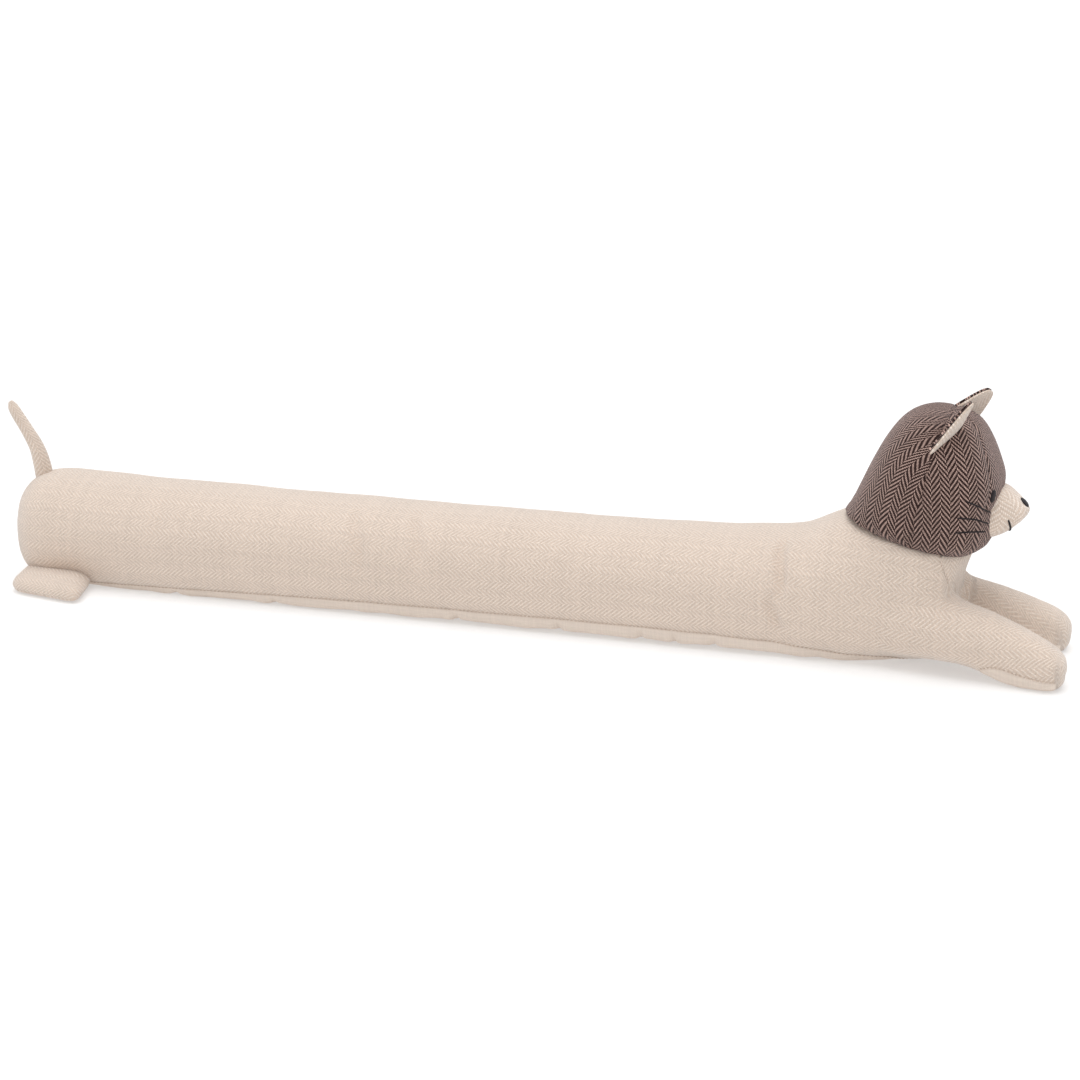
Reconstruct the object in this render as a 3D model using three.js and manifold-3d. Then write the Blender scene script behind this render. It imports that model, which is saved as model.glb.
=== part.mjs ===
import * as THREE from "three";
import Module from "manifold-3d";

const wasm = await Module();
wasm.setup();

// Stuffed cloth draught excluder in the form of a lying cat. Millimetres, +X towards the head,
// +Z up, the floor at Z = 0 and the origin under the middle of the long body.

// Driving dimensions
const CLOTH = 2;
const GAP = 0.3;
const ROOM = 0.42;
const REAR_END = -466;
const REAR_ROUNDING = 48;
const REAR_CENTRE_Z = 47;
const CHEST_FRONT = 387;
const CHEST_ROUNDING = 36;
const CHEST_CENTRE_Z = 98;
const BASE_REAR = -446;
const BASE_FRONT = 352;
const CHEST_SEAM_X = 370;
const CHEST_LOW_Z = 26;
const NECK_TILT = THREE.MathUtils.degToRad(12.5);
const NECK_CENTRE = new THREE.Vector3(340, 0, 107.8);
const BASE_SQUARE = 2.8;
const STEP = 40;
const AROUND_BODY = 28;
const AROUND_LEG = 20;
const AROUND_HEAD = 30;

// Long body, a row for each section: half width, level of the widest part, height of the back,
// depth the rounded underside would have if the floor did not press it flat, squareness of the
// upper half, height of the seam that joins the base panel
const BODY = [
  { x: -466, half: 55, mid: 42, top: 94.5, low: 49, square: 2.3, seam: 5 },
  { x: -330, half: 56, mid: 42, top: 91.5, low: 50, square: 2.1, seam: 8 },
  { x: -180, half: 56, mid: 42, top: 90.5, low: 51, square: 2.1, seam: 12 },
  { x: 0, half: 56, mid: 42, top: 90.5, low: 51, square: 2.1, seam: 14 },
  { x: 130, half: 57, mid: 43, top: 92, low: 53, square: 2.1, seam: 15 },
  { x: 205, half: 59, mid: 44, top: 95.5, low: 54, square: 2.15, seam: 15 },
  { x: 250, half: 61, mid: 45, top: 101, low: 54, square: 2.2, seam: 13 },
  { x: 286, half: 61, mid: 46, top: 117, low: 53, square: 2.4, seam: 10 },
  { x: 318, half: 60, mid: 47, top: 142, low: 49, square: 2.6, seam: 8 },
  { x: 350, half: 58, mid: 48, top: 152, low: 47, square: 2.8, seam: 8 },
  { x: 387, half: 56, mid: 48, top: 156, low: 46, square: 2.8, seam: 8 },
];

// Soft folds across the filled body: place, depth, half length of the hollow along the body, the
// angle round the section where it is deepest (0 at the left flank, 90 on the back) and its spread
const FOLDS = [
  { x: -126, depth: 1.6, length: 9, angle: 165, spread: 45 },
  { x: -72, depth: 1.2, length: 8, angle: 165, spread: 40 },
  { x: 236, depth: 4, length: 13, angle: 183, spread: 32 },
  { x: 226, depth: 3, length: 13, angle: -6, spread: 34 },
  { x: -39, depth: 2.6, length: 6, angle: 234, spread: 20 },
  { x: 52, depth: 2, length: 6, angle: 234, spread: 20 },
  { x: 124, depth: 2, length: 6, angle: 234, spread: 20 },
  { x: 186, depth: 2.4, length: 7, angle: 234, spread: 20 },
  { x: -12, depth: 2.2, length: 6, angle: -54, spread: 20 },
  { x: 96, depth: 2.4, length: 6, angle: -54, spread: 20 },
];

// Front legs, a row for each section of the right one: place, offset from the middle, half width,
// level of the widest part, height of the top, depth of the underside, seam of the sole
const LEG = [
  { x: 296, y: 30, half: 20, mid: 38, top: 58, low: 26, square: 2.2, seam: 0 },
  { x: 330, y: 35, half: 27, mid: 37, top: 70, low: 28, square: 2.2, seam: 0 },
  { x: 360, y: 39, half: 28, mid: 36, top: 68, low: 25, square: 2.2, seam: 12 },
  { x: 385, y: 43, half: 27, mid: 35, top: 63, low: 24, square: 2.2, seam: 15 },
  { x: 410, y: 46, half: 24.5, mid: 31, top: 57, low: 26, square: 2.2, seam: 12 },
  { x: 435, y: 49.5, half: 22.5, mid: 24, top: 48, low: 28, square: 2.2, seam: 9 },
  { x: 457, y: 53, half: 22, mid: 19, top: 38, low: 25, square: 2.2, seam: 7 },
  { x: 475, y: 54, half: 21, mid: 16, top: 30, low: 22, square: 2.2, seam: 7 },
];
const LEG_SIDES = [
  { name: "right", side: -1, tip: 473, rounding: 22, inset: 0, height: 1 },
  { name: "left", side: 1, tip: 468, rounding: 22, inset: 15, height: 0.88 },
];
const SOLE = { rear: 394, fromTip: 6 };

// Hood of the head, a row for each section parallel to the neck seam: height above the seam,
// reach towards the nape, reach towards the face, half width
const HOOD = [
  { height: 0, back: 54, front: 46, half: 48 },
  { height: 4, back: 56, front: 56, half: 53 },
  { height: 12, back: 55, front: 63, half: 57 },
  { height: 25, back: 52, front: 63, half: 60 },
  { height: 40, back: 49, front: 61, half: 61 },
  { height: 57, back: 45.5, front: 60.5, half: 60 },
  { height: 69, back: 42, front: 54.5, half: 57 },
  { height: 81, back: 36.5, front: 46.5, half: 51 },
  { height: 91, back: 29.5, front: 38.5, half: 43 },
  { height: 98, back: 21, front: 32, half: 34 },
  { height: 102.5, back: 12, front: 24, half: 23 },
  { height: 105, back: 0, front: 13, half: 9 },
];
const HOOD_SQUARE = 2.5;

// Muzzle, a row for each section towards the nose: place, top, chin, half width
const MUZZLE = [
  { x: 392, top: 148, chin: 104, half: 29 },
  { x: 404, top: 150, chin: 105, half: 28 },
  { x: 414, top: 148, chin: 108.5, half: 25 },
  { x: 420, top: 143.5, chin: 111.5, half: 21.5 },
  { x: 426, top: 138, chin: 116.5, half: 16.5 },
  { x: 430, top: 133.5, chin: 122, half: 10.5 },
  { x: 432, top: 130.5, chin: 126, half: 5 },
];
const NOSE = { x: 426.5, z: 134.5, long: 6.5, wide: 9, proud: 5, slope: 42 };
const EYES = { x: 405.5, y: 33, z: 148.5, reach: 4.5, high: 5.5 };

// Ears, a row each: the two ends of the sewn edge inside the hood, the tip and how far the middle
// bows back
const EARS = [
  { name: "right", from: [346, -51, 167], to: [374, -18, 188], tip: [385, -46, 223], bow: -3 },
  { name: "left", from: [348, 11, 191], to: [365, 52, 167], tip: [394, 36, 214], bow: -1 },
];
const EAR_RIM_SQUARE = 2.6;

// Tail, a row for each section up its bent middle line: place, height, radius
const TAIL = [
  { x: -449, z: 76, radius: 8 },
  { x: -453, z: 97, radius: 7.5 },
  { x: -459, z: 113, radius: 6.6 },
  { x: -466.5, z: 129, radius: 5.8 },
  { x: -474.5, z: 143, radius: 5.2 },
  { x: -477.5, z: 149, radius: 3.8 },
  { x: -478.5, z: 151.5, radius: 1.4 },
];

// Hind feet, flat pads splayed a little: middle, half length, half width, turn, and a row for each
// level of the pad
const FOOT = { x: -414, y: 61.5, halfLength: 34.5, halfWidth: 24, square: 3.6, turn: 11 };
const FOOT_LEVELS = [
  { z: 0, spread: 0.93 },
  { z: 2.5, spread: 0.985 },
  { z: 6, spread: 1 },
  { z: 10, spread: 0.96 },
  { z: 13.5, spread: 0.85 },
  { z: 16, spread: 0.66 },
  { z: 17.2, spread: 0.35 },
];

const cloth = (name, color, roughness) =>
  new THREE.MeshStandardMaterial({ name, color, roughness, metalness: 0 });
const CREAM_HERRINGBONE = cloth("cream_herringbone", 0xdbccbd, 0.92);
const BROWN_HERRINGBONE = cloth("brown_herringbone", 0x6b5650, 0.9);
const CREAM_PLAIN = cloth("cream_plain", 0xd2c3b7, 0.93);
const BLACK_THREAD = cloth("black_thread", 0x231f22, 0.6);

// Smooth values between the rows of a table, looked up by one of its columns
function between(rows, place) {
  const keys = Object.keys(rows[0]).filter((key) => typeof rows[0][key] === "number");
  const places = rows.map((row, index) => (place ? row[place] : index));
  const values = rows.flatMap((row) => keys.map((key) => row[key]));
  const spline = new THREE.CubicInterpolant(places, values, keys.length);
  return (at) => {
    const result = spline.evaluate(at);
    return Object.fromEntries(keys.map((key, index) => [key, result[index]]));
  };
}

const signedPower = (value, power) => Math.sign(value) * Math.abs(value) ** power;
const degrees = (radians) => THREE.MathUtils.radToDeg(radians);

// Closed solid through rings of equally many points with flat ends
function loft(rings) {
  const around = rings[0].length;
  const points = rings.flat();
  const faces = [];
  for (let ring = 0; ring + 1 < rings.length; ring++) {
    for (let k = 0; k < around; k++) {
      const next = (k + 1) % around;
      const [a, b] = [ring * around + k, ring * around + next];
      faces.push(a, b, b + around, a, b + around, a + around);
    }
  }
  for (const [ring, flip] of [[0, true], [rings.length - 1, false]]) {
    const middle = rings[ring].reduce((sum, p) => sum.add(p), new THREE.Vector3());
    points.push(middle.divideScalar(around));
    for (let k = 0; k < around; k++) {
      const edge = [ring * around + k, ring * around + ((k + 1) % around)];
      faces.push(...(flip ? edge.reverse() : edge), points.length - 1);
    }
  }
  return solid(points, faces);
}

// Closed sheet between two grids of points, walled round its edge
function sheet(outer, inner) {
  const [rows, columns] = [outer.length, outer[0].length];
  const points = [...outer.flat(), ...inner.flat()];
  const behind = rows * columns;
  const faces = [];
  for (let i = 0; i + 1 < rows; i++) {
    for (let j = 0; j + 1 < columns; j++) {
      const [a, b, c, d] = [i, i, i + 1, i + 1].map((r, n) => r * columns + j + (n % 2));
      faces.push(a, b, d, a, d, c);
      faces.push(a + behind, d + behind, b + behind, a + behind, c + behind, d + behind);
    }
  }
  const edge = [];
  for (let j = 0; j + 1 < columns; j++) edge.push(j);
  for (let i = 0; i + 1 < rows; i++) edge.push(i * columns + columns - 1);
  for (let j = columns - 1; j > 0; j--) edge.push((rows - 1) * columns + j);
  for (let i = rows - 1; i > 0; i--) edge.push(i * columns);
  edge.forEach((a, k) => {
    const b = edge[(k + 1) % edge.length];
    faces.push(b, a, a + behind, b, a + behind, b + behind);
  });
  return solid(points, faces);
}

// Manifold of a closed surface, its faces turned outwards
function solid(points, faces) {
  const geometry = new THREE.BufferGeometry().setFromPoints(points);
  const corners = faces.map((index) => points[index]);
  let volume = 0;
  for (let k = 0; k < corners.length; k += 3) {
    volume += corners[k].dot(corners[k + 1].clone().cross(corners[k + 2]));
  }
  const mesh = new wasm.Mesh({
    numProp: 3,
    vertProperties: geometry.getAttribute("position").array,
    triVerts: Uint32Array.from(volume < 0 ? faces.toReversed() : faces),
  });
  return new wasm.Manifold(mesh);
}

const largest = (manifold) =>
  manifold.decompose().reduce((best, piece) => (piece.volume() > best.volume() ? piece : best));

// Point of a filled section: a superellipse with its own reach above and below its widest level,
// pressed flat by the floor, moved outwards by a distance
function sectionPoint(x, section, angle, out) {
  const [c, s] = [Math.cos(angle), Math.sin(angle)];
  const power = s > 0 ? section.square : BASE_SQUARE;
  const reach = s > 0 ? section.top - section.mid : section.low;
  const ny = signedPower(c, 2 - 2 / power) / section.half;
  const nz = signedPower(s, 2 - 2 / power) / reach;
  const shift = out / Math.hypot(ny, nz);
  const y = section.half * signedPower(c, 2 / power) + ny * shift;
  const z = section.mid + reach * signedPower(s, 2 / power) + nz * shift;
  return new THREE.Vector3(x, section.y + y, Math.max(z, -out));
}

// Angle below the widest level at which a section passes a height
function angleAt(section, z) {
  const drop = THREE.MathUtils.clamp((section.mid - z) / section.low, 0, 0.98);
  return -Math.asin(drop ** (BASE_SQUARE / 2));
}

// Share of the full section left in a rounded end
const rounded = (beyond, length, power) =>
  beyond <= 0 ? 1 : Math.max(1 - (beyond / length) ** power, 0.0015) ** (1 / power);

function shrunk(section, share, centreZ) {
  const towards = (z) => centreZ + (z - centreZ) * share;
  return {
    ...section,
    half: section.half * share,
    mid: towards(section.mid),
    top: towards(section.top),
    low: section.low * share,
    seam: section.seam,
  };
}

const bodyBetween = between(BODY, "x");
const legBetween = between(LEG, "x");

function bodySection(x) {
  const section = { ...bodyBetween(x), y: 0 };
  const rear = rounded(REAR_END + REAR_ROUNDING - x, REAR_ROUNDING, 2.6);
  const front = rounded(x - CHEST_FRONT + CHEST_ROUNDING, CHEST_ROUNDING, 2.5);
  return shrunk(shrunk(section, rear, REAR_CENTRE_Z), front, CHEST_CENTRE_Z);
}

function legSection(x, leg) {
  const section = legBetween(x);
  const share = rounded(x - leg.tip + leg.rounding, leg.rounding, 2.6);
  const centre = Math.max(section.mid, 19);
  section.top = section.mid + (section.top - section.mid) * leg.height;
  return { ...shrunk(section, share, centre), y: leg.side * (section.y - leg.inset) };
}

// Hollow of the soft folds at a place on the body
function foldDepth(x, angle) {
  const here = ((degrees(angle) + 450) % 360) - 90;
  return FOLDS.reduce((sum, fold) => {
    const along = (x - fold.x) / fold.length;
    const across = (here - fold.angle) / fold.spread;
    const hollow = fold.depth * Math.exp(-along * along - across * across);
    return hollow > 0.1 ? sum + hollow : sum;
  }, 0);
}

// Places of the sections along the body: even steps, closer in the rounded ends and at folds
const BODY_PLACES = [];
for (let x = REAR_END + STEP; x < CHEST_FRONT - CHEST_ROUNDING; x += STEP) BODY_PLACES.push(x);
for (const share of [0.04, 0.14, 0.3, 0.5, 0.75, 1]) {
  BODY_PLACES.push(REAR_END + REAR_ROUNDING * share, CHEST_FRONT - CHEST_ROUNDING * share);
}
for (const fold of FOLDS) BODY_PLACES.push(fold.x - fold.length, fold.x, fold.x + fold.length);
BODY_PLACES.sort((a, b) => a - b);

function bodyPlaces(from, to) {
  const spread = BODY_PLACES.filter((x, k) => k === 0 || x - BODY_PLACES[k - 1] > 1.2);
  return [from, ...spread.filter((x) => x > from + 1.2 && x < to - 1.2), to];
}

function bodyShape(out) {
  const places = bodyPlaces(REAR_END, CHEST_FRONT);
  const stretch = (REAR_END - CHEST_FRONT - 2 * out) / (REAR_END - CHEST_FRONT);
  const middle = (REAR_END + CHEST_FRONT) / 2;
  return loft(places.map((x) => {
    const section = bodySection(x);
    return Array.from({ length: AROUND_BODY }, (_, k) => {
      const angle = (k / AROUND_BODY) * 2 * Math.PI;
      const point = sectionPoint(x, section, angle, out - foldDepth(x, angle));
      return point.setX(middle + (x - middle) * stretch);
    });
  }));
}

function legShape(leg, out) {
  const places = LEG.map((row) => row.x).filter((x) => x < leg.tip - 20);
  for (const share of [0.75, 0.5, 0.3, 0.14, 0.04, 0]) places.push(leg.tip - leg.rounding * share);
  return loft(places.map((x) => {
    const section = legSection(x, leg);
    return Array.from({ length: AROUND_LEG }, (_, k) =>
      sectionPoint(x + (x === leg.tip ? out : 0), section, (k / AROUND_LEG) * 2 * Math.PI, out));
  }));
}

// Underside sheet of a filled shape between its two seams, wider all round by a margin, from an
// outer to an inner distance outside the shape
function underside(places, sectionAt, foldAt, across, margin, outer, inner) {
  const stretched = [...places];
  stretched[0] -= margin;
  stretched[places.length - 1] += margin;
  const grid = (out) => stretched.map((x) => {
    const section = sectionAt(x);
    const seam = angleAt(section, section.seam);
    const edge = angleAt(section, section.seam + 1.5 * margin);
    return Array.from({ length: across + 1 }, (_, k) => {
      const inside = THREE.MathUtils.lerp(Math.PI - seam, 2 * Math.PI + seam, k / across);
      const angle = k === 0 ? Math.PI - edge : k === across ? 2 * Math.PI + edge : inside;
      return sectionPoint(x, section, angle, out - foldAt(x, angle));
    });
  });
  return sheet(grid(outer), grid(inner));
}

const base = (margin, outer, inner) =>
  underside(bodyPlaces(BASE_REAR, BASE_FRONT), bodySection, foldDepth, 8, margin, outer, inner);

function sole(leg, margin, outer, inner) {
  const to = leg.tip - SOLE.fromTip;
  const places = Array.from({ length: 8 }, (_, k) => THREE.MathUtils.lerp(SOLE.rear, to, k / 7));
  return underside(places, (x) => legSection(x, leg), () => 0, 8, margin, outer, inner);
}

function box(size, centre, turnY) {
  const geometry = new THREE.BoxGeometry(...size);
  geometry.rotateY(turnY);
  geometry.translate(...centre);
  return fromGeometry(geometry);
}

function fromGeometry(geometry) {
  const flat = geometry.toNonIndexed();
  const position = flat.getAttribute("position");
  const points = [];
  const known = new Map();
  const faces = Array.from({ length: position.count }, (_, k) => {
    const point = new THREE.Vector3().fromBufferAttribute(position, k);
    const key = point.toArray().map((value) => value.toFixed(4)).join();
    if (!known.has(key)) {
      known.set(key, points.length);
      points.push(point);
    }
    return known.get(key);
  });
  const whole = [];
  for (let k = 0; k < faces.length; k += 3) {
    const [a, b, c] = faces.slice(k, k + 3);
    if (a !== b && b !== c && c !== a) whole.push(a, b, c);
  }
  return solid(points, whole);
}

const neckForward = new THREE.Vector3(Math.cos(NECK_TILT), 0, -Math.sin(NECK_TILT));
const neckUp = new THREE.Vector3(Math.sin(NECK_TILT), 0, Math.cos(NECK_TILT));

// Rows of a table at even steps, each with the slope of the outline there
function evenRows(rows, along, width, steps) {
  const look = between(rows, null);
  return Array.from({ length: steps + 1 }, (_, i) => {
    const at = (i / steps) * (rows.length - 1);
    const [before, after] = [look(Math.max(at - 0.2, 0)), look(Math.min(at + 0.2, rows.length - 1))];
    const turn = Math.atan2(before[width] - after[width], after[along] - before[along]);
    return { ...look(at), aside: Math.cos(turn), ahead: Math.sin(turn) };
  });
}

// Hood of the head, moved outwards by a distance
function hoodShape(out) {
  const steps = (HOOD.length - 1) * 2;
  return loft(evenRows(HOOD, "height", "half", steps).map((row, i) => {
    const middle = (row.front - row.back) / 2;
    const reach = (row.front + row.back) / 2 + out * row.aside;
    const end = i === 0 ? -out : i === steps ? out : out * row.ahead;
    return Array.from({ length: AROUND_HEAD }, (_, k) => {
      const angle = (k / AROUND_HEAD) * 2 * Math.PI;
      const forward = middle + reach * signedPower(Math.cos(angle), 2 / HOOD_SQUARE);
      const aside = (row.half + out * row.aside) * signedPower(Math.sin(angle), 2 / HOOD_SQUARE);
      return NECK_CENTRE.clone()
        .addScaledVector(neckForward, forward)
        .addScaledVector(neckUp, row.height + GAP + end)
        .setY(aside);
    });
  }));
}

function muzzleShape(out) {
  const steps = (MUZZLE.length - 1) * 2;
  return loft(evenRows(MUZZLE, "x", "half", steps).map((row, i) => {
    const end = i === steps ? out : out * row.ahead;
    return Array.from({ length: 24 }, (_, k) => {
      const angle = (k / 24) * 2 * Math.PI;
      const y = (row.half + out * row.aside) * signedPower(Math.cos(angle), 0.9);
      const z = ((row.top - row.chin) / 2 + out * row.aside) * signedPower(Math.sin(angle), 0.9);
      return new THREE.Vector3(row.x + end, y, (row.top + row.chin) / 2 + z);
    });
  }));
}

function ball(radii, turnY, centre) {
  const geometry = new THREE.SphereGeometry(1, 16, 10);
  geometry.scale(...radii);
  geometry.rotateY(turnY);
  geometry.translate(...centre);
  return fromGeometry(geometry);
}

// One cloth of an ear between two distances behind its front face
function earCloth(ear, front, back) {
  const [from, to, tip] = [ear.from, ear.to, ear.tip].map((p) => new THREE.Vector3(...p));
  const middle = from.clone().lerp(to, 0.5);
  const along = to.clone().sub(from);
  const up = tip.clone().sub(middle);
  const facing = along.clone().cross(up).normalize();
  const [columns, rows] = [10, 5];
  const grid = (behind) => Array.from({ length: rows + 1 }, (_, j) =>
    Array.from({ length: columns + 1 }, (_, i) => {
      const u = (i / columns) * 2 - 1;
      const v = j / rows;
      const rim = (1 - Math.abs(u) ** EAR_RIM_SQUARE) ** 0.6;
      const narrowing = 1 - 0.35 * v * rim;
      const bow = ear.bow * (1 - u * u) * (0.35 + 0.65 * Math.sin(v * Math.PI * 0.75));
      return middle.clone()
        .addScaledVector(along, 0.5 * u * narrowing)
        .addScaledVector(up, v * Math.max(rim, 0.04))
        .addScaledVector(facing, -bow - behind);
    }));
  return sheet(grid(front), grid(back));
}

function tailShape() {
  const tailBetween = between(TAIL, null);
  const steps = (TAIL.length - 1) * 2;
  return loft(Array.from({ length: steps + 1 }, (_, i) => {
    const at = (i / steps) * (TAIL.length - 1);
    const row = tailBetween(at);
    const [before, after] = [tailBetween(at - 0.1), tailBetween(at + 0.1)];
    const lean = new THREE.Vector3(after.z - before.z, 0, before.x - after.x).normalize();
    return Array.from({ length: 16 }, (_, k) => {
      const angle = (k / 16) * 2 * Math.PI;
      return new THREE.Vector3(row.x, 0, row.z)
        .addScaledVector(lean, row.radius * Math.cos(angle))
        .setY(row.radius * Math.sin(angle));
    });
  }));
}

function footShape(side) {
  const turn = THREE.MathUtils.degToRad(FOOT.turn * side);
  const upright = new THREE.Vector3(0, 0, 1);
  return loft(FOOT_LEVELS.map((level) => Array.from({ length: 26 }, (_, k) => {
    const angle = (k / 26) * 2 * Math.PI;
    const x = FOOT.halfLength * signedPower(Math.cos(angle), 2 / FOOT.square);
    const y = FOOT.halfWidth * signedPower(Math.sin(angle), 2 / FOOT.square);
    return new THREE.Vector3(x * level.spread, y * level.spread, level.z)
      .applyAxisAngle(upright, turn)
      .add(new THREE.Vector3(FOOT.x, side * FOOT.y, 0));
  })));
}

// Neck cut, and the block in front of the chest seam
const aboveNeck = box([340, 260, 160], NECK_CENTRE.clone().addScaledVector(neckUp, 80).toArray(), NECK_TILT);
const beforeSeam = (margin) =>
  box([200, 300, 300], [CHEST_SEAM_X - margin + 100, 0, CHEST_LOW_Z - margin + 150], 0);

const legs = (out) => LEG_SIDES.map((leg) => legShape(leg, out));
const torso = bodyShape(0);
const filled = torso.add(legs(0)[0]).add(legs(0)[1]).subtract(aboveNeck);

const chest = largest(
  torso.intersect(beforeSeam(0))
    .subtract(bodyShape(-CLOTH))
    .subtract(aboveNeck)
    .subtract(legs(GAP)[0])
    .subtract(legs(GAP)[1]),
);
const chestPocket = bodyShape(1).intersect(beforeSeam(GAP))
  .subtract(bodyShape(-CLOTH - ROOM))
  .subtract(legs(0)[0])
  .subtract(legs(0)[1]);
const basePanel = largest(base(0, 0, -CLOTH).subtract(legs(GAP)[0]).subtract(legs(GAP)[1]));
const basePocket = base(ROOM, 1, -CLOTH - ROOM).subtract(legs(0)[0]).subtract(legs(0)[1]);
const soles = LEG_SIDES.map((leg) => sole(leg, 0, 0, -CLOTH));
const solePockets = LEG_SIDES.map((leg) => sole(leg, ROOM, 1, -CLOTH - ROOM));

const body = largest(
  filled.subtract(chestPocket).subtract(basePocket).subtract(solePockets[0]).subtract(solePockets[1]),
);
const hood = hoodShape(0);
const hoodRoom = hoodShape(ROOM);
const muzzleRoom = muzzleShape(ROOM);
const muzzle = largest(muzzleShape(0).subtract(hoodRoom));
const nose = ball([NOSE.proud, NOSE.wide, NOSE.long], THREE.MathUtils.degToRad(-NOSE.slope),
  [NOSE.x, 0, NOSE.z]);

const pieces = {
  body: [body, CREAM_HERRINGBONE],
  chest_panel: [chest, CREAM_HERRINGBONE],
  base_panel: [basePanel, CREAM_PLAIN],
  head: [hood, BROWN_HERRINGBONE],
  muzzle: [muzzle, CREAM_HERRINGBONE],
  nose: [largest(nose.subtract(muzzleRoom)), BLACK_THREAD],
  tail: [largest(tailShape().subtract(bodyShape(ROOM))), CREAM_HERRINGBONE],
};
LEG_SIDES.forEach((leg, k) => {
  const eye = ball([EYES.reach, EYES.reach, EYES.high], 0, [EYES.x, leg.side * EYES.y, EYES.z]);
  const foot = footShape(leg.side).subtract(bodyShape(ROOM)).subtract(base(ROOM, ROOM, -CLOTH));
  pieces[`sole_${leg.name}`] = [soles[k], CREAM_PLAIN];
  pieces[`eye_${leg.name}`] = [
    largest(eye.subtract(hoodRoom).subtract(muzzleRoom)), BLACK_THREAD,
  ];
  pieces[`hind_foot_${leg.name}`] = [largest(foot), CREAM_HERRINGBONE];
});
for (const ear of EARS) {
  pieces[`ear_${ear.name}`] = [
    largest(earCloth(ear, CLOTH + GAP, 2 * CLOTH + GAP).subtract(hoodRoom)), BROWN_HERRINGBONE,
  ];
  pieces[`ear_lining_${ear.name}`] = [
    largest(earCloth(ear, 0, CLOTH).subtract(hoodRoom)), CREAM_HERRINGBONE,
  ];
}

function toMesh(name, manifold, material) {
  const { vertProperties, triVerts } = manifold.getMesh();
  const geometry = new THREE.BufferGeometry();
  geometry.setAttribute("position", new THREE.BufferAttribute(vertProperties, 3));
  geometry.setIndex(new THREE.BufferAttribute(triVerts, 1));
  geometry.computeVertexNormals();
  const mesh = new THREE.Mesh(geometry, material);
  mesh.name = name;
  return mesh;
}

const part = new THREE.Group();
part.name = "draught_excluder";
for (const [name, [manifold, material]] of Object.entries(pieces)) {
  part.add(toMesh(name, manifold, material));
}

export default part;
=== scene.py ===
import math

import bmesh
import bpy
import numpy as np
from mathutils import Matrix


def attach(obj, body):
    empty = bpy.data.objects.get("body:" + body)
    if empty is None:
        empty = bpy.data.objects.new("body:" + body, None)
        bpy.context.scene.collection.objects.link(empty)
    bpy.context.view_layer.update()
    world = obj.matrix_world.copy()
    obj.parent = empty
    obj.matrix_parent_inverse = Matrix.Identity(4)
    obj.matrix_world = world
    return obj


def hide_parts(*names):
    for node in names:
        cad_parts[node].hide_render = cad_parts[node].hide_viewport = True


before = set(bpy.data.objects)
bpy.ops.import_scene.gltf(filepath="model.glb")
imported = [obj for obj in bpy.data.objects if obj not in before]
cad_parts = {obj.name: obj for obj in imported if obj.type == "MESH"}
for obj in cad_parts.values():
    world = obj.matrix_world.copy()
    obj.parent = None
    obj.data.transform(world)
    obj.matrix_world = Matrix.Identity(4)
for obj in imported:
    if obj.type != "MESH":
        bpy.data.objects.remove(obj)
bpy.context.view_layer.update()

# A stuffed draught excluder in the form of a lying cat. The frame is in metres, +X to the head,
# +Z up, the floor at Z = 0. Sizes below are in millimetres and are turned to metres by MM.
MM = 0.001
ROOT = "root"


def columns(names, rows):
    """Table with named columns as arrays; every column but squareness is in millimetres."""
    values = np.array(rows, float).T
    return {n: v if n == "square" else v * MM for n, v in zip(names.split(), values)}


def sizes(**named):
    """Named sizes and places given in millimetres."""
    return {name: np.array(size) * MM for name, size in named.items()}


# Viewpoint of the photograph
VIEW_AZIMUTH = math.radians(16.5)
VIEW_ELEVATION = math.radians(17.5)
VIEW_DISTANCE = 2.1872
VIEW_TARGET = np.array([0.0198, 0.0, 0.0672])
LENS = 85
SENSOR = 36

# Cloth: yarns in a stripe of herringbone, spacing of the yarns across and along the stripes, spacing
# in the plain weave, and the thickness of a panel
ENDS_IN_STRIPE = 8
CREAM_PITCH = sizes(end=0.938, pick=1.04)
BROWN_PITCH = sizes(end=0.858, pick=1.14)
PLAIN_PITCH = 0.62 * MM
CLOTH = 0.9 * MM

# Height of the yarns in the twill and in the finer cloth, how strongly they show, the little gloss of
# all cloth, and the plies of a thread
TWILL_RELIEF = 0.5 * MM
FINE_RELIEF = 0.3 * MM
YARN_STRENGTH = 0.6
GLOSS = 0.15
SHEEN_ROUGHNESS = 0.42
PLY = sizes(along=1.1, round=1.6)

# Sections of the long body
BODY = columns("x half mid top low square", [
    (-466, 55, 42, 94.5, 49, 2.3),
    (-330, 56, 42, 91.5, 50, 2.1),
    (-180, 56, 42, 90.5, 51, 2.1),
    (0, 56, 42, 90.5, 51, 2.1),
    (130, 57, 43, 92, 53, 2.1),
    (205, 59, 44, 95.5, 54, 2.15),
    (250, 61, 45, 101, 54, 2.2),
    (286, 61, 46, 117, 53, 2.4),
    (318, 60, 47, 142, 49, 2.6),
    (350, 58, 48, 152, 47, 2.8),
    (387, 56, 48, 156, 46, 2.8),
])
UNDER_SQUARE = 2.8
REAR_END = -466 * MM
REAR_ROUNDING = 48 * MM
REAR_SQUARE = 2.6
BASE_FROM = -446 * MM
BASE_TO = 352 * MM
BASE = columns("x seam", [
    (-446, 1.5), (-400, 1.8), (-330, 5), (-180, 11), (0, 14),
    (130, 15), (205, 14.5), (250, 11.5), (290, 7), (352, 1.5),
])

# Roll of stuffing in the base cloth beside its seam, and the deep puckers across it
ROLL = sizes(from_seam=9, width=10, least=1.7, swing=1.2, gather=7.5, front=(350, 290))
PUCKERS = np.array([-42, 49, 121, 150, 184, -210, -305]) * MM
PUCKER_WIDTH = 2.8 * MM

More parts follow.
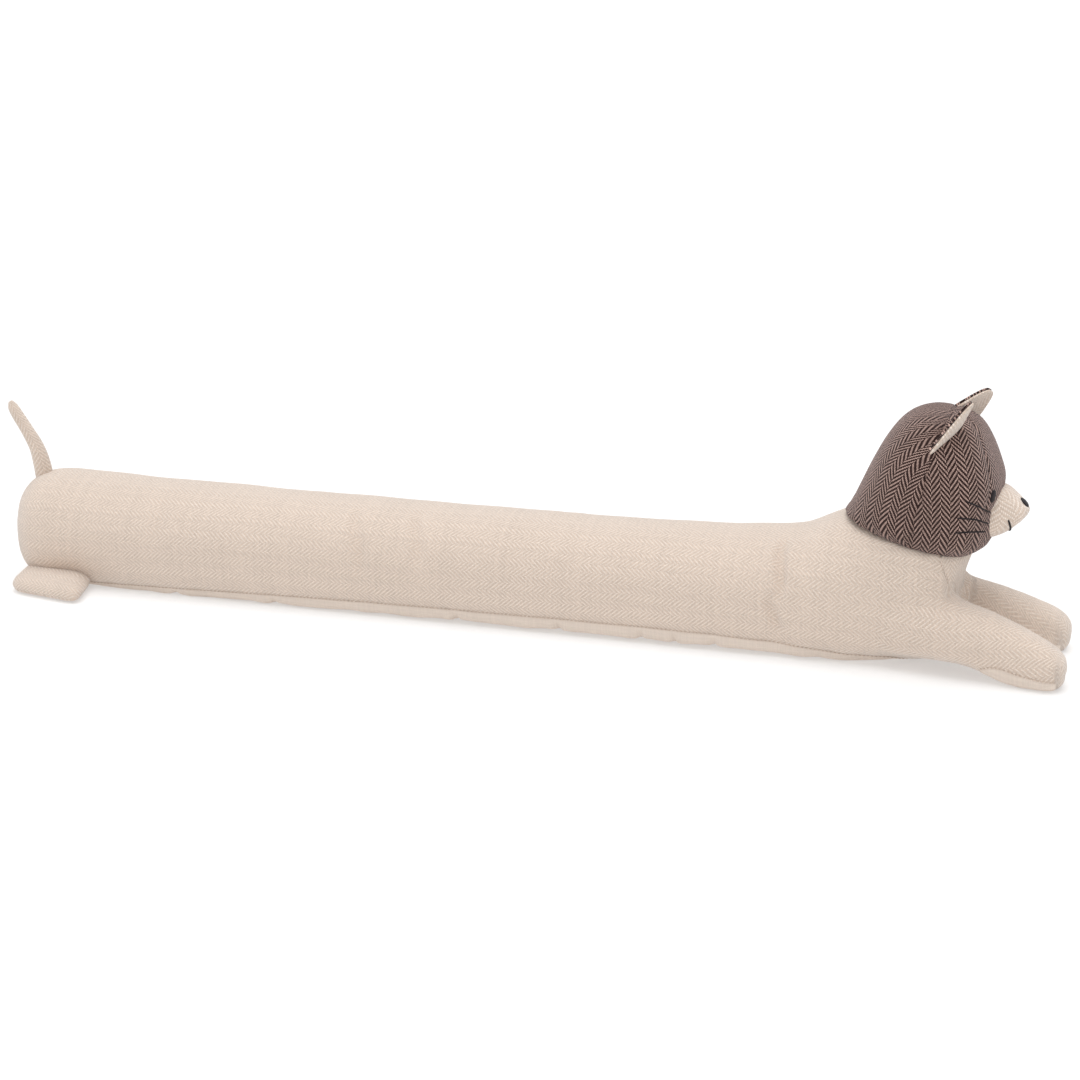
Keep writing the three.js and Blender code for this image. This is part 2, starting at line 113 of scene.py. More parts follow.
# Sections of the right front leg, and how the two legs differ
LEG = columns("x y half mid top low", [
    (296, 30, 20, 38, 58, 26),
    (330, 35, 27, 37, 70, 28),
    (360, 39, 28, 36, 68, 25),
    (385, 43, 27, 35, 63, 24),
    (410, 46, 24.5, 31, 57, 26),
    (435, 49.5, 22.5, 24, 48, 28),
    (457, 53, 22, 19, 38, 25),
    (475, 54, 21, 16, 30, 22),
])
LEGS = {
    "right": {"side": -1, "tip": 473 * MM, "inset": 0.0, "height": 1.0},
    "left": {"side": 1, "tip": 468 * MM, "inset": 15 * MM, "height": 0.88},
}
LEG_ROUNDING = 22 * MM
TOE_MIDDLE = 19 * MM
SOLE = columns("x seam", [(404, 11), (415, 16.2), (438, 13.2), (454, 10.6), (475, 10)])
SOLE_SHORT = 5 * MM

# Cloth in front: places between which its stripes turn to follow a leg, how much sooner on the
# leg's inner side, where the stripes begin to run down over the toe, and their rise along the body
LEG_TURN = (362 * MM, 402 * MM)
INNER_SOONER = 20 * MM
TOE_TURN = (16 * MM, 6 * MM)
LEAN = columns("x rise", [(-466, 0), (220, 0), (300, 5), (370, 11.5), (400, 10), (475, 1)])

# Chest in front of its seam, and the plane of the neck
CHEST_SEAM = 370 * MM
CHEST_FRONT = 387 * MM
CHEST_ROUNDING = 36 * MM
CHEST_SQUARE = 2.5
CHEST_LOW = 48 * MM
CHEST_RAISE = 7 * MM
CHEST_SLANT = 7 * MM
CHEST_OVER_LEG = sizes(x=376, clear=1, width=20)
# Stretch of the chest's front on which the stripes run upright, and the shift that joins them to
# the stripes of the legs
UPRIGHT = sizes(rear=(364, 374), front=(408, 396), aside=(50, 38), shift=(320, 86))
NECK = np.array([340.0, 0.0, 107.8]) * MM
NECK_TILT = math.radians(12.5)
NECK_FORWARD = np.array([math.cos(NECK_TILT), 0.0, -math.sin(NECK_TILT)])
NECK_UP = np.array([math.sin(NECK_TILT), 0.0, math.cos(NECK_TILT)])

# Hood of the head, sections parallel to the neck
HOOD = columns("height back front half", [
    (0, 54, 46, 48),
    (4, 56, 56, 53),
    (12, 55, 63, 57),
    (25, 52, 63, 60),
    (40, 49, 61, 61),
    (57, 45.5, 60.5, 60),
    (69, 42, 54.5, 57),
    (81, 36.5, 46.5, 51),
    (91, 29.5, 38.5, 43),
    (98, 21, 32, 34),
    (102.5, 12, 24, 23),
    (105, 0, 13, 9),
])
HOOD_MIDDLE = 5 * MM
BACK_SEAM = math.radians(93)
BROW_SEAM = math.radians(38)
SIDE_TURN = math.radians(14)

# Rim of the hood: how far it hangs down behind and more in front, its flare behind and all round; then
# its seams (half width, depth of their groove and half width of the painted shade at the rim) with the
# strength of the painted shade in them, its gathers, its uneven stuffing and the height where the brow
# panel begins
RIM_DROP = (1 * MM, 4.5 * MM)
REAR_FLARE = 1.5 * MM
RIM_FLARE = 3.5 * MM
HOOD_SEAM = sizes(width=1.5, depth=0.8, rim=2.5)
HOOD_SEAM_SHADE = 0.8
GATHERS = 0.35 * MM
HOOD_UNEVEN = sizes(height=0.4, length=50)
BROW_FROM = 40 * MM

# Stuffing of the body: fuller paws, rear and rear top, the chest out below the neck and back between
# the legs, the dimple where chest and leg meet, and the unevenness all over
PAW_FILL = sizes(push=2.5, x=(430, 468))
REAR_FILL = sizes(push=-2.0, x=(-425, -462))
RUMP = sizes(rise=2.2, x=-454, length=20, z=(56, 88))
CHEST_FILL = sizes(push=4, back=9, x=(360, 386), aside=(48, 28), z=(108, 62))
DIMPLE = sizes(middle=(376, -45, 67), depth=2.0, width=5)
UNEVEN = sizes(height=0.5, length=85)

# Soft creases on the body: side, upper and lower end as place along and height round the body
# from the flank, depth and half width; their sway, and the ridges beside them as shares of these
CREASES = [
    {"side": -1, "upper": (-137, 54), "lower": (-124, -2), "depth": 2.8, "width": 4.2},
    {"side": -1, "upper": (-82, 56), "lower": (-73, 10), "depth": 2.4, "width": 4.2},
    {"side": -1, "upper": (238, 62), "lower": (240, 10), "depth": 4.0, "width": 3.8},
    {"side": -1, "upper": (232, 10), "lower": (238, -20), "depth": 3.0, "width": 3.8},
    {"side": -1, "upper": (252, 30), "lower": (258, 4), "depth": 0.8, "width": 5.0},
    {"side": -1, "upper": (374, 26), "lower": (377, -8), "depth": 1.3, "width": 4.0},
    {"side": -1, "upper": (-318, 48), "lower": (-312, 8), "depth": 1.1, "width": 6.0},
    {"side": 1, "upper": (-196, 56), "lower": (-188, 6), "depth": 1.1, "width": 5.0},
    {"side": 1, "upper": (40, 58), "lower": (52, 12), "depth": 1.0, "width": 4.5},
    {"side": 1, "upper": (216, 50), "lower": (232, 8), "depth": 2.4, "width": 5.0},
    {"side": 1, "upper": (374, 26), "lower": (377, -8), "depth": 1.2, "width": 4.0},
]
CREASE_SWAY = 1.5 * MM
RIDGE = {"height": 0.35, "away": 2.4, "width": 1.3}

# Ears: ends of the sewn edge, tip, bow of the middle, fullness of the rim; how far the back is from
# the front of the lining, and the thickness of both
EARS = {
    "right": {"from": (346, -51, 167), "to": (370.5, -20.5, 188), "tip": (385.5, -46, 226), "bow": -2.5,
              "square": 2.7},
    "left": {"from": (348, 11, 191), "to": (365, 52, 167), "tip": (394.5, 36, 214.5), "bow": 3,
             "square": 2.6},
}
EAR_APART = 2.3 * MM
EAR_CLOTH = 1.9 * MM

# Sections of the muzzle, from inside the hood to the nose, and the round on which its stripes turn
MUZZLE = columns("x top chin half", [
    (392, 148, 104, 29),
    (404, 150, 106, 28),
    (414, 147.5, 110.5, 25),
    (420, 143, 115, 21),
    (426, 137.5, 120.5, 16),
    (430, 133.5, 125, 10.5),
    (432, 131, 128, 5),
])
MUZZLE_POWER = 0.9
MUZZLE_TURN = sizes(radius=26, behind=8, shift=4)

# Middle line of the tail, from inside the body, and the round on which its stripes are spaced
TAIL = columns("z x radius", [
    (70, -446, 8.4),
    (97, -449.5, 8.3),
    (113, -454, 7.2),
    (129, -463, 6.2),
    (143, -472, 5.7),
    (150, -476, 4.9),
    (154.5, -478, 2.4),
])
TAIL_ROUND = 7 * MM

# Hind feet: corners of the right one from the outer rear round by the outer front, a row of height
# and share of the full outline for each level, and the seam round the foot with the strength of its
# painted shade
FOOT_CORNERS = np.array([(-448, -80), (-373, -95), (-386, -35), (-455, -27)]) * MM
FOOT_LEVELS = [(0, 0.80), (1.5, 0.93), (5, 1.0), (9, 0.98), (13, 0.90), (15.5, 0.74), (17, 0.45)]
FOOT_SQUARE = 6
FOOT_SEAM = sizes(height=4, width=1.2, depth=0.5)
FOOT_SEAM_SHADE = 0.4

# Sewing: half width of a seam, the strength and colour of the painted shade in it, how far a panel's
# edge is tucked in and its inside stands out, the groove beside a seam and its painted shade, and the
# stitches
SEAM_WIDTH = 0.9 * MM
SEAM_SHADE = 0.28
SEAM_SHADE_COLOUR = (0.30, 0.22, 0.17, 1.0)
TUCK = 1.2 * MM
PROUD = 0.5 * MM
GROOVE = sizes(above=1.0, width=2.4, depth=0.6, gather=5.2, fade=12)
GROOVE_SHADE = 0.12
STITCH = sizes(pitch=3.4, long=2.0, out=0.5, radius=0.28)

# Threads on the face: whiskers and mouth as points on the right side, eyes and nose as middle,
# half width, half height, height above the cloth and the turn of their outside from straight ahead
WHISKERS = [
    [(386, -55, 149), (395.6, -47, 142.5), (403.5, -30, 133)],
    [(379.4, -56, 134.7), (393, -48, 131.7), (403, -29, 124)],
    [(378.3, -54, 121.6), (390.4, -48, 121.1), (401, -32, 118)],
]
MOUTH = [[(417.6, -22.9, 126.5), (419.6, -20.2, 120.9), (419.6, -9.2, 112.5)]]
WHISKER_RADIUS = 0.65 * MM
MOUTH_RADIUS = 0.85 * MM
EYE = {"middle": (406, -32, 147.5), "wide": 3.4, "high": 5.4, "proud": 1.0, "turn": -48}
NOSE = {"middle": (428, 0, 135.6), "wide": 5.2, "high": 3.3, "proud": 1.0, "turn": 0}
CAST_FROM = 60 * MM
# A direction that no thread and no tail follows
NO_PATH = (0.31, 0.95, 0.0)

# Stage: half size of the floor, its grey and its glow, the light all round, and the wide suns with
# their spread and turn in degrees
FLOOR_REACH = 60.0
FLOOR_GREY = (0.62, 0.62, 0.62, 1.0)
FLOOR_GLOW = 0.36
ROOM_LIGHT = 0.70
WHITE = (1.0, 1.0, 1.0, 1.0)
SUNS = {
    "soft_key": {"energy": 1.6, "spread": 55, "turn": (4, -4, 0)},
    "soft_back": {"energy": 0.5, "spread": 50, "turn": (-58, 0, 0)},
}


# Numbers

def along(table, name, place, key="x"):
    """Cubic curve through a column of a table: Hermite pieces whose slopes are the mean of the
    chords on both sides of a row."""
    x, y = table[key], table[name]
    chord = np.diff(y) / np.diff(x)
    slope = np.concatenate([chord[:1], (chord[1:] + chord[:-1]) / 2, chord[-1:]])
    place = np.clip(place, x[0], x[-1])
    k = np.clip(np.searchsorted(x, place) - 1, 0, len(x) - 2)
    step = x[k + 1] - x[k]
    t = (place - x[k]) / step
    return (
        (1 + 2 * t) * (1 - t) ** 2 * y[k]
        + t * (1 - t) ** 2 * step * slope[k]
        + t * t * (3 - 2 * t) * y[k + 1]
        + t * t * (t - 1) * step * slope[k + 1]
    )


def ramp(low, high, value):
    """0 before low, 1 past high and the smooth cubic 3t^2 - 2t^3 between; it falls where low is the
    larger."""
    t = np.clip((value - low) / (high - low), 0, 1)
    return t * t * (3 - 2 * t)


def bell(value, width):
    """exp(-(value / width)^2)."""
    return np.exp(-((value / width) ** 2))


def signed_power(value, power):
    """|value|^power with the sign of the value."""
    return np.sign(value) * np.abs(value) ** power


def rounded(beyond, length, power):
    """Share of the full section left in a rounded end, (1 - (beyond/length)^p)^(1/p)."""
    share = np.clip(beyond / length, 0, 1)
    return np.maximum(1 - share**power, 0.0015) ** (1 / power)


def quarter_arc(side, up, power, angle, steps=24):
    """Length along a superellipse quarter (side cos^(2/p), up sin^(2/p)) from the side to an angle,
    summed over short chords for whole arrays."""
    t = angle[..., None] * np.linspace(0, 1, steps + 1)
    exponent = 2 / np.broadcast_to(power, angle.shape)[..., None]
    a = np.broadcast_to(side, angle.shape)[..., None] * np.abs(np.cos(t)) ** exponent
    b = np.broadcast_to(up, angle.shape)[..., None] * np.abs(np.sin(t)) ** exponent
    return np.hypot(np.diff(a, axis=-1), np.diff(b, axis=-1)).sum(-1)


def full_turn(count):
    """Angles evenly round a full turn."""
    return np.linspace(0, 2 * math.pi, count, endpoint=False)


def run_of(points):
    """Length along a row of points from its first one."""
    return np.concatenate([[0], np.linalg.norm(np.diff(points, axis=0), axis=1).cumsum()])


def ripple(points, length, seed):
    """Uneven stuffing between -1 and 1: the mean of six sine waves in fixed random directions."""
    draw = np.random.default_rng(seed)
    turns = draw.normal(size=(6, 3))
    turns *= (2 * math.pi / length) / np.linalg.norm(turns, axis=1, keepdims=True)
    turns *= draw.uniform(0.7, 1.5, size=(6, 1))
    return np.sin(points @ turns.T + draw.uniform(0, 2 * math.pi, 6)).mean(1) * 1.6


# Meshes

def points_of(mesh):
    values = np.empty(len(mesh.vertices) * 3)
    mesh.vertices.foreach_get("co", values)
    return values.reshape(-1, 3)


def normals_of(mesh):
    values = np.empty(len(mesh.vertices) * 3)
    mesh.vertex_normals.foreach_get("vector", values)
    return values.reshape(-1, 3)


def skin_of(piece):
    return points_of(piece.data), normals_of(piece.data)


def place(mesh, points):
    mesh.vertices.foreach_set("co", points.ravel())
    mesh.update()


def note(piece, name, values):
    """Stores one vector for each point, which the cloth's material reads by its name."""
    layer = piece.data.attributes.new(name, "FLOAT_VECTOR", "POINT")
    rows = np.zeros((len(piece.data.vertices), 3))
    rows[:, : np.shape(values)[1]] = values
    layer.data.foreach_set("vector", rows.ravel())


def no_seam(piece):
    """Piece with no seam to shade."""
    note(piece, "seam", np.zeros((len(piece.data.vertices), 1)))


def new_piece(name, mesh):
    piece = bpy.data.objects.new(name, mesh)
    bpy.context.scene.collection.objects.link(piece)
    return piece


def grid_faces(rows, across, closed=False):
    """Quads between neighbouring rows of points, closed round if asked."""
    r = np.arange(rows - 1)[:, None]
    c = np.arange(across if closed else across - 1)[None, :]
    nxt = (c + 1) % across
    corners = [r * across + c, r * across + nxt, (r + 1) * across + nxt, (r + 1) * across + c]
    return np.stack([np.broadcast_to(k, (rows - 1, c.shape[1])) for k in corners], -1).reshape(-1, 4)


def surface(name, grid, closed=False):
    """Piece from a grid of points, rows first."""
    rows, across = grid.shape[:2]
    mesh = bpy.data.meshes.new(name)
    mesh.from_pydata(grid.reshape(-1, 3), [], grid_faces(rows, across, closed))
    mesh.shade_smooth()
    return new_piece(name, mesh)


def settle(piece):
    """Turns the modifiers of a piece into its mesh."""
    graph = bpy.context.evaluated_depsgraph_get()
    made = bpy.data.meshes.new_from_object(piece.evaluated_get(graph))
    piece.modifiers.clear()
    old, piece.data = piece.data, made
    bpy.data.meshes.remove(old)
    piece.data.name = piece.name
    piece.data.shade_smooth()


def outwards(piece):
    """Faces turned to point out of a closed shape."""
    shape = bmesh.new()
    shape.from_mesh(piece.data)
    bmesh.ops.recalc_face_normals(shape, faces=shape.faces)
    shape.to_mesh(piece.data)
    shape.free()


def swell(piece, cap, stiffness, pressure=4, frames=20):
    """Cloth under the pressure of its stuffing, with no gravity; no point moves further than the
    cap."""
    cloth = piece.modifiers.new("stuffing", "CLOTH")
    settings = cloth.settings
    settings.quality = 5
    settings.mass = 0.3
    settings.tension_stiffness = stiffness
    settings.compression_stiffness = stiffness
    settings.bending_stiffness = 0.5
    settings.use_pressure = True
    settings.uniform_pressure_force = pressure
    settings.effector_weights.gravity = 0
    cloth.collision_settings.use_collision = False
    cloth.point_cache.frame_start = 1
    cloth.point_cache.frame_end = frames
    scene = bpy.context.scene
    for step in range(1, frames + 1):
        scene.frame_set(step)
    graph = bpy.context.evaluated_depsgraph_get()
    start = points_of(piece.data)
    move = points_of(piece.evaluated_get(graph).data) - start
    piece.modifiers.remove(cloth)
    scene.frame_set(1)
    length = np.linalg.norm(move, axis=1, keepdims=True)
    place(piece.data, start + move * np.minimum(1, cap / np.maximum(length, 1e-9)))


def subdivide(piece):
    """One level of subdivision, made part of the mesh."""
    finer = piece.modifiers.new("finer", "SUBSURF")
    finer.levels = finer.render_levels = 1
    settle(piece)


def joined(name, nodes):
    """Skin of several solids as one piece."""
    shape = bmesh.new()
    for node in nodes:
        shape.from_mesh(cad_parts[node].data)
    bmesh.ops.remove_doubles(shape, verts=shape.verts, dist=1e-6)
    mesh = bpy.data.meshes.new(name)
    shape.to_mesh(mesh)
    shape.free()
    return new_piece(name, mesh)


def lofted(name, rings):
    """Closed piece through rings of points, with a flat face at both ends."""
    rows, around = rings.shape[:2]
    mesh = bpy.data.meshes.new(name)
    ends = [list(range(around)), list(range((rows - 1) * around, rows * around))]
    faces = grid_faces(rows, around, closed=True).tolist() + ends
    mesh.from_pydata(rings.reshape(-1, 3), [], faces)
    piece = new_piece(name, mesh)
    outwards(piece)
    return piece


def stuffed(piece, voxel, slack, cap, even=3, stiffness=15):
    """Padded piece from a closed skin: remeshed, evened out, drawn in by the slack, blown up as
    cloth and subdivided once. It stays on or above the floor."""
    skin = piece.modifiers.new("skin", "REMESH")
    skin.mode = "VOXEL"
    skin.voxel_size = voxel
    smooth = piece.modifiers.new("even", "SMOOTH")
    smooth.factor = 0.5
    smooth.iterations = even
    settle(piece)
    place(piece.data, points_of(piece.data) - normals_of(piece.data) * slack)
    swell(piece, cap, stiffness)
    subdivide(piece)
    keep_above_floor(piece, points_of(piece.data))


def keep_above_floor(piece, points):
    """Points put in place, those below the floor raised to it."""
    points[:, 2] = np.maximum(points[:, 2], 0)
    place(piece.data, points)


def dress(piece, material, nodes=()):
    """Material and body of a finished piece, and the solids that it replaces."""
    piece.data.materials.clear()
    piece.data.materials.append(material)
    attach(piece, ROOT)
    if nodes:
        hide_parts(*nodes)


def laid_on(piece, target, lift):
    """Sheet moved to the nearest point of what it covers."""
    wrap = piece.modifiers.new("laid", "SHRINKWRAP")
    wrap.target = target
    wrap.wrap_method = "NEAREST_SURFACEPOINT"
    wrap.wrap_mode = "ABOVE_SURFACE"
    wrap.offset = lift
    settle(piece)


def thicken(piece, thickness):
    """Sheet given its thickness towards the inside."""
    solid = piece.modifiers.new("cloth", "SOLIDIFY")
    solid.thickness = thickness
    solid.offset = -1
    settle(piece)


# Shader numbers

class Number:
    """A number worked out by a shader's Math nodes."""

    def __init__(self, tree, socket):
        self.tree = tree
        self.socket = socket

    def step(self, operation, *others):
        node = self.tree.nodes.new("ShaderNodeMath")
        node.operation = operation
        for entry, value in zip(node.inputs, (self, *others)):
            if isinstance(value, Number):
                self.tree.links.new(value.socket, entry)
            else:
                entry.default_value = value
        return Number(self.tree, node.outputs[0])

    def __add__(self, other):
        return self.step("ADD", other)

    def __sub__(self, other):
        return self.step("SUBTRACT", other)

    def __mul__(self, other):
        return self.step("MULTIPLY", other)

    def __truediv__(self, other):
        return self.step("DIVIDE", other)

    def floor(self):
        return self.step("FLOOR")

    def fract(self):
        return self.step("FRACT")

    def wrap(self, size):
        return self.step("FLOORED_MODULO", size)

    def below(self, limit):
        return self.step("LESS_THAN", limit)

    def towards(self, other, share):
        """self + (other - self) share."""
        return (other - self) * share + self

    def hump(self, power):
        """1 - |2 self - 1|^power, a yarn's round across or along its float."""
        edge = (self * 2 - 1).step("ABSOLUTE").step("POWER", power)
        return edge.step("MULTIPLY_ADD", -1, 1)


def linear(*srgb):
    """Colour from 0 to 255 as the light values a shader takes."""
    c = np.array(srgb) / 255
    light = np.where(c <= 0.04045, c / 12.92, ((c + 0.055) / 1.055) ** 2.4)
    return (*light.tolist(), 1.0)


def mixed(tree, share, first, second, blend="MIX"):
    """Two colours blended by a share."""
    node = tree.nodes.new("ShaderNodeMix")
    node.data_type = "RGBA"
    node.blend_type = blend
    for entry, value in zip((node.inputs[0], node.inputs[6], node.inputs[7]), (share, first, second)):
        if isinstance(value, Number):
            tree.links.new(value.socket, entry)
        elif isinstance(value, bpy.types.NodeSocket):
            tree.links.new(value, entry)
        else:
            entry.default_value = value
    return node.outputs[2]


def stored(tree, name):
    """Three numbers stored at the points of a piece."""
    source = tree.nodes.new("ShaderNodeAttribute")
    source.attribute_name = name
    split = tree.nodes.new("ShaderNodeSeparateXYZ")
    tree.links.new(source.outputs["Vector"], split.inputs[0])
    return [Number(tree, socket) for socket in split.outputs]


def noise(tree, scale, detail=2.0, shift=0.0):
    """Noise over the place on the object, about 0.5 in the mean."""
    source = tree.nodes.new("ShaderNodeTexCoord")
    move = tree.nodes.new("ShaderNodeMapping")
    move.inputs["Location"].default_value = (shift, shift * 0.7, shift * 1.3)
    tree.links.new(source.outputs["Object"], move.inputs["Vector"])
    texture = tree.nodes.new("ShaderNodeTexNoise")
    texture.inputs["Scale"].default_value = scale
    texture.inputs["Detail"].default_value = detail
    tree.links.new(move.outputs[0], texture.inputs["Vector"])
    return Number(tree, texture.outputs["Fac"])


def wander(number, scale, amount, shift=0.0):
    """Number that strays a little from place to place, as yarns do."""
    return (noise(number.tree, scale, shift=shift) - 0.5) * amount + number


def each(number, shift):
    """A fixed random number from 0 to 1 for each yarn."""
    texture = number.tree.nodes.new("ShaderNodeTexWhiteNoise")
    texture.noise_dimensions = "1D"
    number.tree.links.new((number + shift).socket, texture.inputs["W"])
    return Number(number.tree, texture.outputs["Value"])


def cloth_material(name, roughness, sheen, sheen_tint):
    """Matt material with the soft sheen of cloth."""
    material = bpy.data.materials.new(name)
    material.use_nodes = True
    tree = material.node_tree
    shader = tree.nodes["Principled BSDF"]
    shader.inputs["Roughness"].default_value = roughness
    shader.inputs["Specular IOR Level"].default_value = GLOSS
    shader.inputs["Sheen Weight"].default_value = sheen
    shader.inputs["Sheen Roughness"].default_value = SHEEN_ROUGHNESS
    shader.inputs["Sheen Tint"].default_value = sheen_tint
    return material, tree, shader


def lit(tree, colour, light):
    """Colour, given or from a socket, times a number."""
    shade = tree.nodes.new("ShaderNodeVectorMath")
    shade.operation = "SCALE"
    if isinstance(colour, bpy.types.NodeSocket):
        tree.links.new(colour, shade.inputs[0])
    else:
        shade.inputs[0].default_value = colour[:3]
    tree.links.new(light.socket, shade.inputs["Scale"])
    return shade.outputs[0]


def finish_cloth(tree, shader, colour, height, depth):
    """Colour and raised yarns to the shader, with painted shade darkening the colour in the seams."""
    seam = stored(tree, "seam")[0]
    # Painted shade: the colour is darkened towards the seam shade colour by the stored seam share
    shaded = mixed(tree, seam * SEAM_SHADE, colour, SEAM_SHADE_COLOUR, "MULTIPLY")
    tree.links.new(shaded, shader.inputs["Base Color"])
    bump = tree.nodes.new("ShaderNodeBump")
    bump.inputs["Distance"].default_value = depth
    bump.inputs["Strength"].default_value = YARN_STRENGTH
    tree.links.new(height.socket, bump.inputs["Height"])
    tree.links.new(bump.outputs[0], shader.inputs["Normal"])


def cloth_place(tree, panels):
    """Place along and across the stripes; where the piece has panels, the panel's own place."""
    u, v, _ = stored(tree, "weave")
    for name in panels:
        other_u, other_v, inside = stored(tree, name)
        switch = inside.step("GREATER_THAN", 0)
        u = u.towards(other_u, switch)
        v = v.towards(other_v, switch)
    return u, v


def herringbone(name, warp, weft, pitch, uneven, relief_shade, sheen, panels=()):
    """Two-and-two twill that turns at every eighth yarn: a yarn is on top where its number plus
    the row's number is 0 or 1 of 4, and the twill breaks at each turn."""
    material, tree, shader = cloth_material(name, 0.92, *sheen)
    u, v = cloth_place(tree, panels)
    across = wander(wander(v, 22, 2.4 * MM, shift=3.1), 7, 5 * MM, shift=5.7) / pitch["end"]
    rows = wander(u, 26, 2.2 * MM) / pitch["pick"]
    end, row = across.floor(), rows.floor()
    stripe = (end / ENDS_IN_STRIPE).floor()
    odd = stripe.wrap(2)
    turn = odd.step("MULTIPLY_ADD", -2, 1)
    lift = ((end - stripe * ENDS_IN_STRIPE) * turn + row + odd).wrap(4)
    on_top = lift.below(1.5)
    float_along = (lift + rows.fract()) / 2
    float_across = ((lift - 2.5) * turn + across.fract() + 0.5) / 2
    warp_height = across.fract().hump(2) * float_along.hump(4)
    weft_height = rows.fract().hump(2) * float_across.hump(4)
    height = weft_height.towards(warp_height, on_top)
    tint = each(end, 7.3).towards(each(row, 91.7), on_top.step("MULTIPLY_ADD", -1, 1))
    round_top = (height * 2.2 - 0.25).step("MINIMUM", 1).step("MAXIMUM", 0)
    colour = mixed(tree, on_top * round_top, weft, warp)
    fleck = each(end * 37.7 + row * 0.613, 3.9) - 0.5
    mottle = (noise(tree, 11, 3.0) - 0.5) * 0.7 + (noise(tree, 1100, 3.0) - 0.5) * 1.2
    mottle = mottle + fleck * 1.3 + tint - 0.5
    # Painted shade and highlight: each yarn darker at its edges and lighter on its round top by the
    # relief share, with the yarns' own uneven tone
    light = mottle * uneven + (height - 0.5) * relief_shade + 1.0
    finish_cloth(tree, shader, lit(tree, colour, light), height, TWILL_RELIEF)
    return material


def plain_weave(name, colour, uneven):
    """One-over-one cloth: a yarn is on top where its number plus the row's number is even."""
    material, tree, shader = cloth_material(name, 0.9, 0.12, (1.0, 0.93, 0.86, 1.0))
    u, v = cloth_place(tree, ())
    across = wander(v, 40, 1.2 * MM) / PLAIN_PITCH
    rows = wander(u, 35, 1.2 * MM, shift=2.2) / PLAIN_PITCH
    end, row = across.floor(), rows.floor()
    on_top = (end + row).wrap(2).below(0.5)
    warp_height = across.fract().hump(2) * rows.fract().hump(3)
    weft_height = rows.fract().hump(2) * across.fract().hump(3)
    height = weft_height.towards(warp_height, on_top)
    tint = each(end, 5.1).towards(each(row, 41.7), on_top)
    # Painted shade and highlight on each yarn by its height, with the yarns' own uneven tone
    light = ((noise(tree, 14, 3.0) - 0.5) * 0.6 + tint - 0.5) * uneven + height * 0.14 + 0.9
    finish_cloth(tree, shader, lit(tree, colour, light), height, FINE_RELIEF)
    return material


def thread(name, colour, roughness):
    """Twisted thread: fine slanting plies with painted shade between them and a little uneven tone."""
    material, tree, shader = cloth_material(name, roughness, 0.04, WHITE)
    u, v, _ = stored(tree, "weave")
    ply = (u / PLY["along"] + v / PLY["round"]).fract().hump(2)
    # Painted shade between the plies, with the thread's own uneven tone
    light = (noise(tree, 700) - 0.5) * 0.5 + ply * 0.5 + 0.7
    finish_cloth(tree, shader, lit(tree, colour, light), ply, FINE_RELIEF)
    return material


CREAM_SHEEN = (0.5, (0.90, 0.96, 1.0, 1.0))
BROWN_SHEEN = (0.3, (1.0, 0.90, 0.90, 1.0))
CREAM_YARNS = linear(236, 222, 210), linear(218, 199, 183)
BROWN_YARNS = linear(172, 145, 135), linear(47, 30, 27)
CREAM_CLOTH = {"pitch": CREAM_PITCH, "uneven": 0.11, "relief_shade": 0.10, "sheen": CREAM_SHEEN}
BROWN_CLOTH = {"pitch": BROWN_PITCH, "uneven": 0.34, "relief_shade": 0.7, "sheen": BROWN_SHEEN}
HOOD_PANELS = ("weave_back", "weave_brow")
CREAM = herringbone("cream_herringbone", *CREAM_YARNS, **CREAM_CLOTH)
BROWN = herringbone("brown_herringbone", *BROWN_YARNS, **BROWN_CLOTH, panels=HOOD_PANELS)
EAR_BROWN = herringbone("brown_herringbone_ear", *BROWN_YARNS, **BROWN_CLOTH)
PLAIN = plain_weave("cream_plain", linear(238, 223, 210), uneven=0.10)
BLACK = thread("black_thread", linear(36, 31, 34), roughness=0.55)
SEWING = thread("cream_thread", linear(198, 178, 162), roughness=0.8)


# Body

def body_section(x):
    """Sizes of the body at a place along it, with the height of the seam of its base."""
    return {**{name: along(BODY, name, x) for name in BODY}, "seam": along(BASE, "seam", x)}


def flank_arc(points):
    """Signed length round the body from its widest level, up positive, alike on both sides."""
    section = body_section(points[:, 0])
    rise = points[:, 2] - section["mid"]
    upper = rise > 0
    reach = np.where(upper, section["top"] - section["mid"], section["low"])
    power = np.where(upper, section["square"], UNDER_SQUARE)
    out = (np.abs(points[:, 1]) / section["half"]) ** (power / 2)
    angle = np.arctan2((np.abs(rise) / reach) ** (power / 2), out)
    return quarter_arc(section["half"], reach, power, angle) * np.sign(rise)


def leg_section(x, leg):
    """Sizes of a leg at a place along it, rounded off towards its toe."""
    section = {name: along(LEG, name, x) for name in LEG}
    share = rounded(x - leg["tip"] + LEG_ROUNDING, LEG_ROUNDING, REAR_SQUARE)
    centre = np.maximum(section["mid"], TOE_MIDDLE)
    rise = (section["top"] - section["mid"]) * leg["height"]
    return {
        "y": leg["side"] * (section["y"] - leg["inset"]),
        "half": section["half"] * share,
        "mid": centre + (section["mid"] - centre) * share,
        "rise": rise * share,
        "low": section["low"] * share,
        "seam": along(SOLE, "seam", x),
    }


def leg_arc(points, leg):
    """Length round a leg from its outer side, over its top to its inner side."""
    section = leg_section(points[:, 0], leg)
    out = (points[:, 1] - section["y"]) * leg["side"] / section["half"]
    rise = points[:, 2] - section["mid"]
    angle = np.arctan2(rise / np.where(rise > 0, section["rise"], section["low"]), out)
    angle = np.where(angle < -math.pi / 2, angle + 2 * math.pi, angle)
    radius = (section["half"] + section["rise"]) / 2
    return angle * radius


